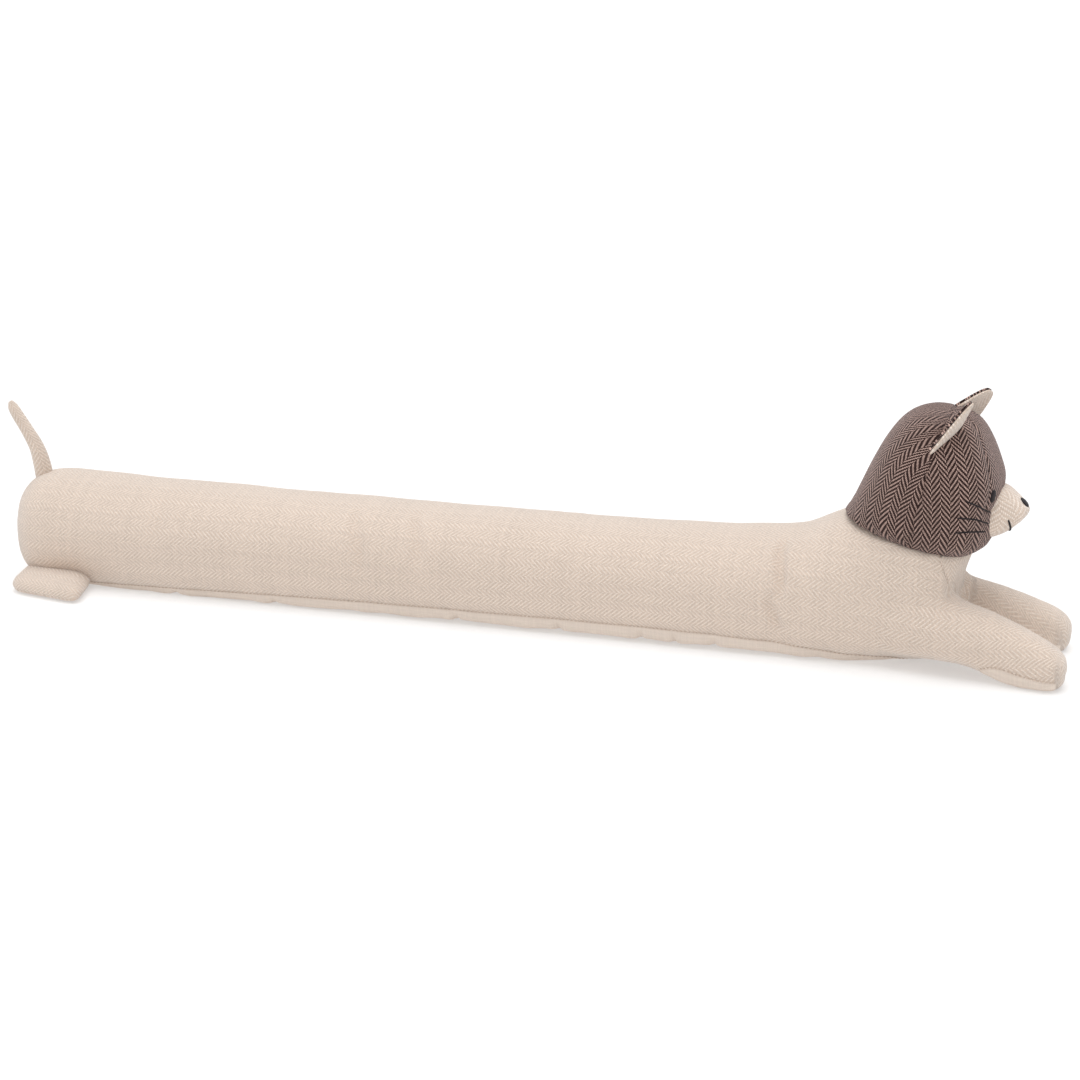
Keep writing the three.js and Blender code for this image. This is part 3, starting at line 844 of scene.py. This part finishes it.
def toe_weave(points, leg):
    """Stripes from the top of a leg straight down over its toe: the fall below the toe's top, and the
    place across the leg counted from its outer side."""
    x, y, z = points.T
    start = leg_section(np.array([leg["tip"] - LEG_ROUNDING]), leg)
    level = leg["tip"] - TOE_TURN[1]
    top = leg_section(np.array([level]), leg)
    radius = (start["half"] + start["rise"]) / 2
    across = (y - leg_section(x, leg)["y"]) * leg["side"]
    return level + top["mid"] + top["rise"] - z, math.pi / 2 * radius - across


def body_weave(points, normals):
    """Stripes along the body at an even spacing from the flank; they bend round the rear at their
    own height, follow the front legs, run down over the toes and stand upright on the chest."""
    x, y, z = points.T
    u, v = x.copy(), flank_arc(points)
    beyond = np.clip((REAR_END + REAR_ROUNDING - x) / REAR_ROUNDING, 0, 1)
    half = along(BODY, "half", x)
    bend = np.arctan2(beyond**1.3, (np.abs(y) / half) ** 1.3)
    round_rear = REAR_END + REAR_ROUNDING - quarter_arc(half, REAR_ROUNDING, REAR_SQUARE, bend)
    u += (round_rear - u) * (beyond > 0) * ramp(0.92, 0.55, normals[:, 2])
    facing = ramp(0.45, 0.95, -normals[:, 0]) * (beyond > 0)
    v += (z - along(BODY, "mid", x) - v) * facing
    for leg in LEGS.values():
        side = y * leg["side"] > 0
        inner = ramp(6 * MM, -6 * MM, np.abs(y) - np.abs(leg_section(x, leg)["y"]))
        share = side * ramp(LEG_TURN[0], LEG_TURN[1] - INNER_SOONER * inner, x)
        level = along(LEG, "mid", x) - along(BODY, "mid", x)
        v += (leg_arc(points, leg) + level - v) * share
        toe_u, toe_v = toe_weave(points, leg)
        toe = side * ramp(0.4, 0.8, normals[:, 0]) * ramp(*TOE_TURN, leg["tip"] - x)
        u += (toe_u - u) * toe
        v += (toe_v + level - v) * toe
    v += along(LEAN, "rise", x)
    ahead = ramp(0.35, 0.75, normals[:, 0]) * ramp(*UPRIGHT["rear"], x) * ramp(*UPRIGHT["front"], x)
    ahead = ahead * ramp(*UPRIGHT["aside"], np.abs(y))
    u += (z + UPRIGHT["shift"][0] - u) * ahead
    v += (UPRIGHT["shift"][1] - np.abs(y) - v) * ahead
    return np.stack([u, v], 1)


def chest_edge(y):
    """Lower edge of the chest cloth: over the tops of the legs, lower between them."""
    level = np.full_like(y, CHEST_LOW)
    for leg in LEGS.values():
        section = leg_section(np.array([CHEST_OVER_LEG["x"]]), leg)
        peak = section["mid"] + section["rise"] + CHEST_OVER_LEG["clear"] - CHEST_LOW
        level = level + peak * bell(y - section["y"], CHEST_OVER_LEG["width"])
    return level


def neck_level(x):
    """Height of the slanting plane of the neck."""
    return NECK[2] - (x - NECK[0]) * math.tan(NECK_TILT)


def seam_spread(count):
    """From 0 to 1, closer together towards both ends."""
    return 0.5 - 0.5 * np.cos(np.linspace(0, math.pi, count))


def arc_across(laid):
    """Length across each row of a grid of points from its first point."""
    steps = np.linalg.norm(np.diff(laid, axis=1), axis=2)
    return np.concatenate([np.zeros((len(laid), 1)), steps.cumsum(1)], 1)


def under_grid(x, section, y, across):
    """Lower part of superellipse sections from seam to seam, below their widest level."""
    drop = np.clip((section["mid"] - section["seam"]) / section["low"], 0, 0.98)
    start = np.arcsin(drop ** (UNDER_SQUARE / 2))
    angle = math.pi + start + (math.pi - 2 * start) * seam_spread(across)[None, :]
    y = y + section["half"] * signed_power(np.cos(angle), 2 / UNDER_SQUARE)
    z = section["mid"] + section["low"] * signed_power(np.sin(angle), 2 / UNDER_SQUARE)
    return np.stack([np.broadcast_to(x, y.shape), y, np.maximum(z, 0)], -1)


def lay_panel(piece, skin, shape, ends, lift_of):
    """Panel laid on the skin and lifted by a function of the distance from its edge; its edge is tucked
    in and darkened with painted seam shade. Returns the seams along its two sides, and the length
    across it from its middle."""
    laid_on(piece, skin, 0.1 * MM)
    points, normals = skin_of(piece)
    laid = points.reshape(*shape, 3).copy()
    arc = arc_across(laid)
    side = np.minimum(arc, arc[:, -1:] - arc)
    edge = np.minimum(side, ends).ravel()
    keep_above_floor(piece, points + normals * lift_of(points, edge)[:, None])
    # Painted shade along both sides of the panel, darkest at the seam
    note(piece, "seam", bell(side, SEAM_WIDTH).reshape(-1, 1))
    return [laid[:, 0], laid[:, -1]], (arc - arc[:, -1:] / 2).ravel()


def base_lift(points, edge):
    """Puckered roll of stuffing beside the seam, the edge itself sunk into the skin."""
    swing = 0.5 + 0.5 * np.sin(points[:, 0] / ROLL["gather"] + 3 * ripple(points, 60 * MM, 5))
    roll = ramp(0, 7 * MM, edge) * bell(edge - ROLL["from_seam"], ROLL["width"])
    roll *= (ROLL["least"] + ROLL["swing"] * swing) * ramp(*ROLL["front"], points[:, 0])
    roll *= 1 - 1.1 * bell(points[:, :1] - PUCKERS, PUCKER_WIDTH).sum(1)
    return roll + 0.3 * MM - TUCK * bell(edge, SEAM_WIDTH)


def edge_lift(points, edge):
    """Panel a little proud of the skin, its edge sunk into it, alike at all points."""
    return PROUD * ramp(0, 4 * MM, edge) - TUCK * bell(edge, SEAM_WIDTH)


def under_panel(node, skin, x, section, y, across, lift_of):
    """Plain-weave panel laid below sections from seam to seam. Returns it and its seams."""
    piece = surface(f"{node}_cloth", under_grid(x, section, y, across))
    ends = np.minimum(x - x[0], x[-1] - x)
    seams, arc = lay_panel(piece, skin, (len(x), across), ends, lift_of)
    note(piece, "weave", np.stack([np.repeat(x, across), arc], 1))
    thicken(piece, CLOTH)
    dress(piece, PLAIN, [node])
    return piece, seams


def base_cloth(skin):
    """Panel under the body."""
    x = np.linspace(BASE_FROM, BASE_TO, 330)[:, None]
    piece, seams = under_panel("base_panel", skin, x, body_section(x), 0, 64, base_lift)
    return seams


def sole_cloth(skin, name, leg):
    """Panel under a front paw."""
    x = np.linspace(SOLE["x"][0], leg["tip"] - SOLE_SHORT, 50)[:, None]
    section = leg_section(x, leg)
    piece, seams = under_panel(f"sole_{name}", skin, x, section, section["y"], 40, edge_lift)
    return seams


def chest_cloth(skin):
    """Gusset in front of the chest: rounds of a superellipse from flank to flank, narrower below,
    between the legs' tops and the neck."""
    stations, across = 40, 72
    rise = np.linspace(0, 1, stations)[:, None]
    seam = CHEST_SEAM + CHEST_SLANT * ramp(0.9, 0.0, rise)
    turn = np.arccos(((seam - CHEST_FRONT + CHEST_ROUNDING) / CHEST_ROUNDING) ** (CHEST_SQUARE / 2))
    angle = turn * (2 * seam_spread(across)[None, :] - 1)
    half = along(BODY, "half", np.array([CHEST_SEAM]))
    x = CHEST_FRONT - CHEST_ROUNDING + CHEST_ROUNDING * np.cos(angle) ** (2 / CHEST_SQUARE)
    y = half * signed_power(np.sin(angle), 2 / CHEST_SQUARE)
    low = chest_edge(y) + CHEST_RAISE
    z = low + (neck_level(x) + 2 * MM - low) * rise
    piece = surface("chest_panel_cloth", np.stack([x, y, z], -1))
    seams, arc = lay_panel(piece, skin, (stations, across), z - low, edge_lift)
    note(piece, "weave", np.stack([z.ravel(), arc], 1))
    thicken(piece, CLOTH)
    dress(piece, CREAM, ["chest_panel"])
    return seams


def crease_depth(points, weave):
    """Sum of the soft creases: a bell across each crease's line, fading at its two ends, with a
    low ridge beside it."""
    total = np.zeros(len(points))
    for crease in CREASES:
        upper, lower = (np.array(crease[end]) * MM for end in ("upper", "lower"))
        line = lower - upper
        length = np.linalg.norm(line)
        offset = np.stack([points[:, 0], weave[:, 1]], 1) - upper
        share = offset @ line / length**2
        across = (offset @ np.array([line[1], -line[0]])) / length
        across = across + CREASE_SWAY * np.sin(share * 5 + crease["width"])
        fade = ramp(-0.25, 0.3, share) * ramp(1.25, 0.7, share)
        width = crease["width"] * MM
        ridge = RIDGE["height"] * bell(np.abs(across) - RIDGE["away"] * width, RIDGE["width"] * width)
        valley = (bell(across, width) - ridge) * fade
        total += crease["depth"] * MM * valley * (points[:, 1] * crease["side"] > 0)
    return total


def body_form(points, normals, weave):
    """Moves on the stuffed skin: full paws and rear, the chest slanting back below the neck,
    uneven stuffing, creases and the dimple where chest and leg meet."""
    x, y, z = points.T
    push = sum(fill["push"] * ramp(*fill["x"], x) for fill in (PAW_FILL, REAR_FILL))
    front = ramp(*CHEST_FILL["x"], x) * ramp(*CHEST_FILL["aside"], np.abs(y))
    front = front * ramp(-5 * MM, 6 * MM, z - chest_edge(y))
    push += (CHEST_FILL["push"] - CHEST_FILL["back"] * ramp(*CHEST_FILL["z"], z)) * front
    dimple = np.linalg.norm(points - DIMPLE["middle"], axis=1)
    move = UNEVEN["height"] * ripple(points, UNEVEN["length"], 3) * ramp(2 * MM, 25 * MM, z)
    move -= crease_depth(points, weave) + DIMPLE["depth"] * bell(dimple, DIMPLE["width"])
    move += RUMP["rise"] * bell(x - RUMP["x"], RUMP["length"]) * ramp(*RUMP["z"], z)
    points = points + normals * move[:, None]
    points[:, 0] += push
    return points


def seam_groove(z, section):
    """Bell over the height, a little above the seam."""
    return bell(z - section["seam"] - GROOVE["above"], GROOVE["width"])


def body_cover():
    """Stuffed body with its panels laid on it and a puckered groove beside their seams, with painted
    shade in the groove. Returns the seams."""
    skin = joined("body_cover", ["body", "base_panel", "chest_panel", "sole_right", "sole_left"])
    stuffed(skin, voxel=4.2 * MM, slack=0.6 * MM, cap=1.1 * MM)
    points, normals = skin_of(skin)
    weave = body_weave(points, normals)
    keep_above_floor(skin, body_form(points, normals, weave))
    seams = base_cloth(skin) + chest_cloth(skin)
    for name, leg in LEGS.items():
        seams += sole_cloth(skin, name, leg)
    points, normals = skin_of(skin)
    x, y, z = points.T
    section = body_section(x)
    ends = ramp(BASE_FROM - 2 * MM, BASE_FROM + 1 * MM, x) * ramp(BASE_TO + 2 * MM, BASE_TO - 1 * MM, x)
    groove = seam_groove(z, section) * ends * (z < section["mid"])
    for leg in LEGS.values():
        level = leg_section(x, leg)
        beside = np.abs(y - level["y"]) < level["half"] + 4 * MM
        beside = beside * ramp(SOLE["x"][0], SOLE["x"][0] + GROOVE["fade"], x)
        groove = np.maximum(groove, seam_groove(z, level) * beside)
    pucker = 0.7 + 0.5 * np.sin(x / GROOVE["gather"] + 2.5 * ripple(points, 70 * MM, 11))
    keep_above_floor(skin, points - normals * (groove * GROOVE["depth"] * pucker)[:, None])
    note(skin, "weave", weave)
    # Painted shade in the groove beside the seams
    note(skin, "seam", groove[:, None] * GROOVE_SHADE)
    dress(skin, CREAM, ["body"])
    return seams


# Head

def hood_place(points):
    """Place forward, aside and up in the frame of the neck, and the turn round its axis."""
    offset = points - NECK
    forward = offset @ NECK_FORWARD
    height = offset @ NECK_UP
    turn = np.arctan2(np.abs(offset[:, 1]), forward - HOOD_MIDDLE)
    return forward, offset[:, 1], height, turn


def rise_arc(height):
    """Length up the hood's side profile to a height."""
    levels = np.linspace(0, HOOD["height"][-1], 200)
    half = along(HOOD, "half", levels, "height")
    return np.interp(height, levels, run_of(np.stack([levels, half], 1)))


def hood():
    """Hood of the head; its rim is drawn down over the neck and a little gathered in front, with
    painted shade along its seams and at its rim.
    """
    piece = joined("hood", ["head"])
    stuffed(piece, voxel=3.0 * MM, slack=0.6 * MM, cap=1.0 * MM)
    points, normals = skin_of(piece)
    forward, aside, height, turn = hood_place(points)
    reach = along(HOOD, "front", height, "height") + along(HOOD, "back", height, "height")
    radius = (along(HOOD, "half", height, "height") + reach / 2) / 2
    up = rise_arc(height)
    back = (turn - BACK_SEAM) * radius
    brow = np.minimum((BROW_SEAM - turn) * radius, height - BROW_FROM)
    side = np.sign(aside + 1e-9)
    aback = (turn - (BACK_SEAM + BROW_SEAM) / 2) * radius
    upright = up * math.cos(SIDE_TURN) + aback * math.sin(SIDE_TURN)
    level = aback * math.cos(SIDE_TURN) - up * math.sin(SIDE_TURN)
    note(piece, "weave", np.stack([upright, level], 1))
    note(piece, "weave_back", np.stack([up, (math.pi - turn) * radius * side, back], 1))
    note(piece, "weave_brow", np.stack([up, turn * radius * side, brow], 1))
    lines = np.maximum(bell(back, HOOD_SEAM["width"]), bell(brow, HOOD_SEAM["width"]))
    lines *= ramp(3 * MM, 8 * MM, height)
    around = np.arctan2(aside, forward - HOOD_MIDDLE)
    gathers = np.sin(around * 17 + 2 * np.sin(around * 5)) * bell(height - 4 * MM, 7 * MM)
    move = HOOD_UNEVEN["height"] * ripple(points, HOOD_UNEVEN["length"], 8)
    move += GATHERS * gathers * bell(turn, 0.9) - HOOD_SEAM["depth"] * lines
    points = points + normals * move[:, None]
    drop = (RIM_DROP[0] + RIM_DROP[1] * ramp(2.6, 1.6, turn)) * ramp(26 * MM, 2 * MM, height)
    flare = REAR_FLARE * ramp(16 * MM, 0, height) * ramp(1.9, 2.7, turn)
    flare += RIM_FLARE * ramp(5.5 * MM, 1 * MM, height)
    outer = NECK_FORWARD * np.cos(around)[:, None] + np.array([0, 1, 0]) * np.sin(around)[:, None]
    points += outer * flare[:, None] - NECK_UP * drop[:, None]
    place(piece.data, points)
    # Painted shade along the hood's seams and at its rim over the neck
    shade = np.maximum(HOOD_SEAM_SHADE * lines, bell(height, HOOD_SEAM["rim"]))
    note(piece, "seam", shade[:, None])
    dress(piece, BROWN, ["head"])
    return piece


def muzzle():
    """Round muzzle that starts inside the hood: rings (half cos^p, high sin^p) carried along it."""
    x = np.linspace(MUZZLE["x"][0], MUZZLE["x"][-1], 22)[:, None]
    top, chin, half = (along(MUZZLE, name, x) for name in ("top", "chin", "half"))
    angle = full_turn(40)[None, :]
    y = half * signed_power(np.cos(angle), MUZZLE_POWER)
    z = (top + chin) / 2 + (top - chin) / 2 * signed_power(np.sin(angle), MUZZLE_POWER)
    piece = lofted("muzzle_cover", np.stack([np.broadcast_to(x, y.shape), y, z], -1))
    stuffed(piece, voxel=1.8 * MM, slack=0.3 * MM, cap=0.6 * MM)
    points = points_of(piece.data)
    turn = np.arctan2(points[:, 1], points[:, 0] - MUZZLE["x"][0] + MUZZLE_TURN["behind"])
    around = turn * MUZZLE_TURN["radius"] + MUZZLE_TURN["shift"]
    note(piece, "weave", np.stack([points[:, 2], around], 1))
    no_seam(piece)
    dress(piece, CREAM, ["muzzle"])
    return piece


def ear_grid(shape, behind, steps=41, rows=25):
    """Ear cloth over its width u from -1 to 1 and height v from 0 to 1: the rim stands
    (1 - |u|^square)^0.6 high, narrows towards the tip and bows in the middle."""
    start, end, tip = (np.array(shape[k], float) * MM for k in ("from", "to", "tip"))
    middle = (start + end) / 2
    across, up = end - start, tip - middle
    facing = np.cross(across, up)
    facing /= np.linalg.norm(facing)
    u = np.sin(np.linspace(-1, 1, steps) * math.pi / 2)[None, :, None]
    v = np.linspace(0, 1, rows)[:, None, None]
    rim = (1 - np.abs(u) ** shape["square"]) ** 0.6
    narrowing = 1 - np.where(u > 0, 0.5, 0.35) * v * rim
    bow = shape["bow"] * MM * (1 - u * u) * (0.35 + 0.65 * np.sin(v * math.pi * 0.75))
    grid = (
        middle
        + across * 0.5 * u * narrowing
        + up * v * np.maximum(rim, 0.04)
        - facing * (bow + behind)
    )
    size = np.linalg.norm(across), np.linalg.norm(up)
    weave = np.stack(np.broadcast_arrays(v * rim * size[1], u * narrowing * size[0] / 2), -1)[:, :, 0]
    return grid, weave.reshape(-1, 2)


def ear(name, shape):
    """Back of an ear and the lining in front of it."""
    for node, behind, material, slot in (
        (f"ear_{name}", EAR_APART, EAR_BROWN, "brown_herringbone"),
        (f"ear_lining_{name}", 0.0, CREAM, "cream_herringbone"),
    ):
        grid, weave = ear_grid(shape, behind)
        piece = surface(f"{node}_cloth", grid)
        note(piece, "weave", weave)
        thicken(piece, EAR_CLOTH)
        outwards(piece)
        subdivide(piece)
        no_seam(piece)
        dress(piece, material, [node])


# Rear

def tail():
    """Bent tail, its lower end inside the body: a ring carried along its middle line."""
    z = np.linspace(TAIL["z"][0], TAIL["z"][-1], 30)
    line = np.stack([along(TAIL, "x", z, "z"), np.zeros(len(z)), z], 1)
    piece = lofted("tail_cover", tube(line, along(TAIL, "radius", z, "z"), 28))
    stuffed(piece, voxel=1.8 * MM, slack=0.3 * MM, cap=0.6 * MM)
    points = points_of(piece.data)
    run = np.interp(points[:, 2], z, run_of(line))
    lean = points[:, 0] - np.interp(points[:, 2], z, line[:, 0])
    turn = np.arctan2(points[:, 1], -lean)
    note(piece, "weave", np.stack([run, np.abs(turn) * TAIL_ROUND], 1))
    no_seam(piece)
    dress(piece, CREAM, ["tail"])


def hind_foot(name, side):
    """Flat pad: levels of a superellipse, stretched between four corners."""
    node = f"hind_foot_{name}"
    angle = full_turn(72)[None, :]
    height, share = np.array(FOOT_LEVELS).T[:, :, None]
    s = share * signed_power(np.cos(angle), 2 / FOOT_SQUARE)
    t = share * signed_power(np.sin(angle), 2 / FOOT_SQUARE)
    weights = np.stack([(1 - s) * (1 - t), (1 + s) * (1 - t), (1 + s) * (1 + t), (1 - s) * (1 + t)], -1)
    plan = weights / 4 @ (FOOT_CORNERS * [1, -side])
    rings = np.concatenate([plan, np.broadcast_to(height * MM, s.shape)[..., None]], -1)
    piece = lofted(f"{node}_cover", rings)
    stuffed(piece, voxel=2.0 * MM, slack=0.2 * MM, cap=0.5 * MM, even=1)
    points, normals = skin_of(piece)
    long = FOOT_CORNERS[1] - FOOT_CORNERS[0]
    long = long / np.linalg.norm(long) * [1, -side]
    local = points[:, :2] - FOOT_CORNERS[0] * [1, -side]
    wide = local @ np.array([long[1], -long[0]]) * side
    note(piece, "weave", np.stack([local @ long, wide + points[:, 2]], 1))
    upright = ramp(0.5, 0.9, np.linalg.norm(normals[:, :2], axis=1))
    rim = bell(points[:, 2] - FOOT_SEAM["height"], FOOT_SEAM["width"]) * upright
    keep_above_floor(piece, points - normals * (FOOT_SEAM["depth"] * rim)[:, None])
    # Painted shade in the seam round the foot
    note(piece, "seam", rim[:, None] * FOOT_SEAM_SHADE)
    dress(piece, CREAM, [node])


# Sewing

def tube(path, radius, around=8):
    """Rings round one path or several, each path a row of points; radius is one number or one for
    each point."""
    ahead = np.gradient(path, axis=-2)
    ahead /= np.linalg.norm(ahead, axis=-1, keepdims=True)
    side = np.cross(ahead, NO_PATH)
    side /= np.linalg.norm(side, axis=-1, keepdims=True)
    up = np.cross(side, ahead)
    turn = full_turn(around)[:, None]
    ring = side[..., None, :] * np.cos(turn) + up[..., None, :] * np.sin(turn)
    radius = np.broadcast_to(radius, path.shape[:-1])
    return path[..., None, :] + ring * radius[..., None, None]


def spline(points, count):
    """Smooth curve through a few points, each coordinate a cubic of the chord length."""
    points = np.asarray(points, float)
    chord = run_of(points)
    at = np.linspace(0, chord[-1], count)
    rows = {"t": chord, **{str(k): points[:, k] for k in range(3)}}
    return np.stack([along(rows, str(k), at, "t") for k in range(3)], 1)


def pressed_to(target, points, outside):
    """Where straight lines from outside through the points meet a piece, and its normals there."""
    back = (-outside).tolist()
    hits = [target.ray_cast(start, back) for start in (points + outside * CAST_FROM).tolist()]
    spots = np.array([spot if hit else point for (hit, spot, *_), point in zip(hits, points)])
    return spots, np.array([normal for _, _, normal, _ in hits])


def threads(name, paths, radius, material):
    """Threads along paths of equal numbers of points, thinned to both ends, as one piece."""
    count, length = paths.shape[:2]
    t = np.linspace(-1, 1, length)
    grids = tube(paths, radius * np.sqrt(np.clip(1 - np.abs(t) ** 8, 0.02, 1)))
    around = grids.shape[2]
    faces = grid_faces(length, around, closed=True)
    mesh = bpy.data.meshes.new(name)
    shifts = np.arange(count)[:, None, None] * length * around
    mesh.from_pydata(grids.reshape(-1, 3), [], (faces + shifts).reshape(-1, 4))
    mesh.shade_smooth()
    piece = new_piece(name, mesh)
    outwards(piece)
    girth = np.linspace(0, 2 * math.pi * radius, around)[None, None, :]
    weave = np.broadcast_arrays(arc_across(paths)[:, :, None], girth)
    note(piece, "weave", np.stack(weave, -1).reshape(-1, 2))
    no_seam(piece)
    dress(piece, material)


def drawn(target, mark, outside, radius):
    """Thread along a mark, half sunk in the piece that it is sewn on."""
    spots, normals = pressed_to(target, spline(mark, 18), outside)
    return spots + normals * 0.3 * radius


def mirrored(mark, side):
    """Points given for the right side, in metres, on that side or the other."""
    return np.array(mark) * [1, -side, 1] * MM


def satin_patch(name, target, shape, side, nodes):
    """Oval of close stitches on a piece: rings of points cast on it from the shape's outside,
    raised by (1 - r^2)^0.5 of its height and sunk at the rim."""
    rings, around = 14, 44
    turn = math.radians(shape["turn"]) * -side
    outside = np.array([math.cos(turn), math.sin(turn), 0.0])
    aside = np.array([-outside[1], outside[0], 0.0])
    r = np.linspace(0.02, 1, rings)[:, None, None]
    angle = full_turn(around)[None, :, None]
    flat_x = shape["wide"] * MM * r * np.cos(angle)
    flat_z = shape["high"] * MM * r * np.sin(angle)
    middle = mirrored(shape["middle"], side)
    spread = middle + aside * flat_x + np.array([0.0, 0.0, 1.0]) * flat_z
    spots, normals = pressed_to(target, spread.reshape(-1, 3), outside)
    rise = (np.sqrt(1 - (0.995 * r) ** 2) * shape["proud"] - 0.3) * MM
    lifted = spots + normals * np.broadcast_to(rise, (rings, around, 1)).reshape(-1, 1)
    piece = surface(name, lifted.reshape(rings, around, 3), closed=True)
    note(piece, "weave", np.concatenate([flat_z.reshape(-1, 1), flat_x.reshape(-1, 1)], 1))
    no_seam(piece)
    thicken(piece, 0.4 * MM)
    outwards(piece)
    dress(piece, BLACK, nodes)


def seam_stitches(seams):
    """Short stitches at an even pitch along seams, each bowed out by 1 - t^2 so that its ends sink."""
    t = np.linspace(-1, 1, 7)
    pitch = STITCH["pitch"]
    paths = []
    for seam in seams:
        length = run_of(seam)
        at = np.arange(pitch, length[-1] - pitch, pitch)[:, None] + t * STITCH["long"] / 2
        path = np.stack([np.interp(at, length, seam[:, k]) for k in range(3)], -1)
        path[..., 1] += np.sign(path[..., 1]) * STITCH["out"] * (1 - t**2)
        paths.append(path)
    threads("seam_stitches", np.concatenate(paths), STITCH["radius"], SEWING)


# Stage

def stage():
    """Pale floor, even light all round and two wide suns."""
    reach = [-FLOOR_REACH, FLOOR_REACH]
    floor = surface("floor", np.stack([*np.meshgrid(reach, reach), np.zeros((2, 2))], -1))
    pale = bpy.data.materials.new("pale_floor")
    pale.use_nodes = True
    shader = pale.node_tree.nodes["Principled BSDF"]
    shader.inputs["Base Color"].default_value = FLOOR_GREY
    shader.inputs["Emission Color"].default_value = WHITE
    shader.inputs["Emission Strength"].default_value = FLOOR_GLOW
    shader.inputs["Roughness"].default_value = 0.9
    shader.inputs["Specular IOR Level"].default_value = 0.0
    floor.data.materials.append(pale)
    world = bpy.data.worlds.new("studio")
    world.use_nodes = True
    light = world.node_tree.nodes["Background"]
    light.inputs["Color"].default_value = WHITE
    light.inputs["Strength"].default_value = ROOM_LIGHT
    bpy.context.scene.world = world
    for name, sun in SUNS.items():
        light = bpy.data.lights.new(name, "SUN")
        light.angle = math.radians(sun["spread"])
        light.energy = sun["energy"]
        lamp = bpy.data.objects.new(name, light)
        lamp.rotation_euler = [math.radians(angle) for angle in sun["turn"]]
        bpy.context.scene.collection.objects.link(lamp)


def camera():
    """Camera at the photograph's viewpoint."""
    back = np.array([
        math.sin(VIEW_AZIMUTH) * math.cos(VIEW_ELEVATION),
        -math.cos(VIEW_AZIMUTH) * math.cos(VIEW_ELEVATION),
        math.sin(VIEW_ELEVATION),
    ])
    lens = bpy.data.cameras.new("camera")
    lens.lens = LENS
    lens.sensor_width = SENSOR
    eye = bpy.data.objects.new("camera", lens)
    eye.location = (VIEW_TARGET + back * VIEW_DISTANCE).tolist()
    eye.rotation_euler = (math.pi / 2 - VIEW_ELEVATION, 0, VIEW_AZIMUTH)
    bpy.context.scene.collection.objects.link(eye)
    bpy.context.scene.camera = eye
    bpy.context.scene.view_settings.view_transform = "Standard"


camera()
stage()
seam_stitches(body_cover())
head = hood()
face = muzzle()
for ear_name, ear_shape in EARS.items():
    ear(ear_name, ear_shape)
tail()
for side_name, side in (("right", -1), ("left", 1)):
    hind_foot(side_name, side)
    across = np.array([0.0, side, 0.0])
    cheek = np.array([0.6, 0.8 * side, 0.0])
    whiskers = [drawn(head, mirrored(mark, side), across, WHISKER_RADIUS) for mark in WHISKERS]
    threads(f"whiskers_{side_name}", np.array(whiskers), WHISKER_RADIUS, BLACK)
    mouth = [drawn(face, mirrored(mark, side), cheek, MOUTH_RADIUS) for mark in MOUTH]
    threads(f"mouth_{side_name}", np.array(mouth), MOUTH_RADIUS, BLACK)
    satin_patch(f"eye_{side_name}_stitched", head, EYE, side, [f"eye_{side_name}"])
satin_patch("nose_stitched", face, NOSE, -1, ["nose"])
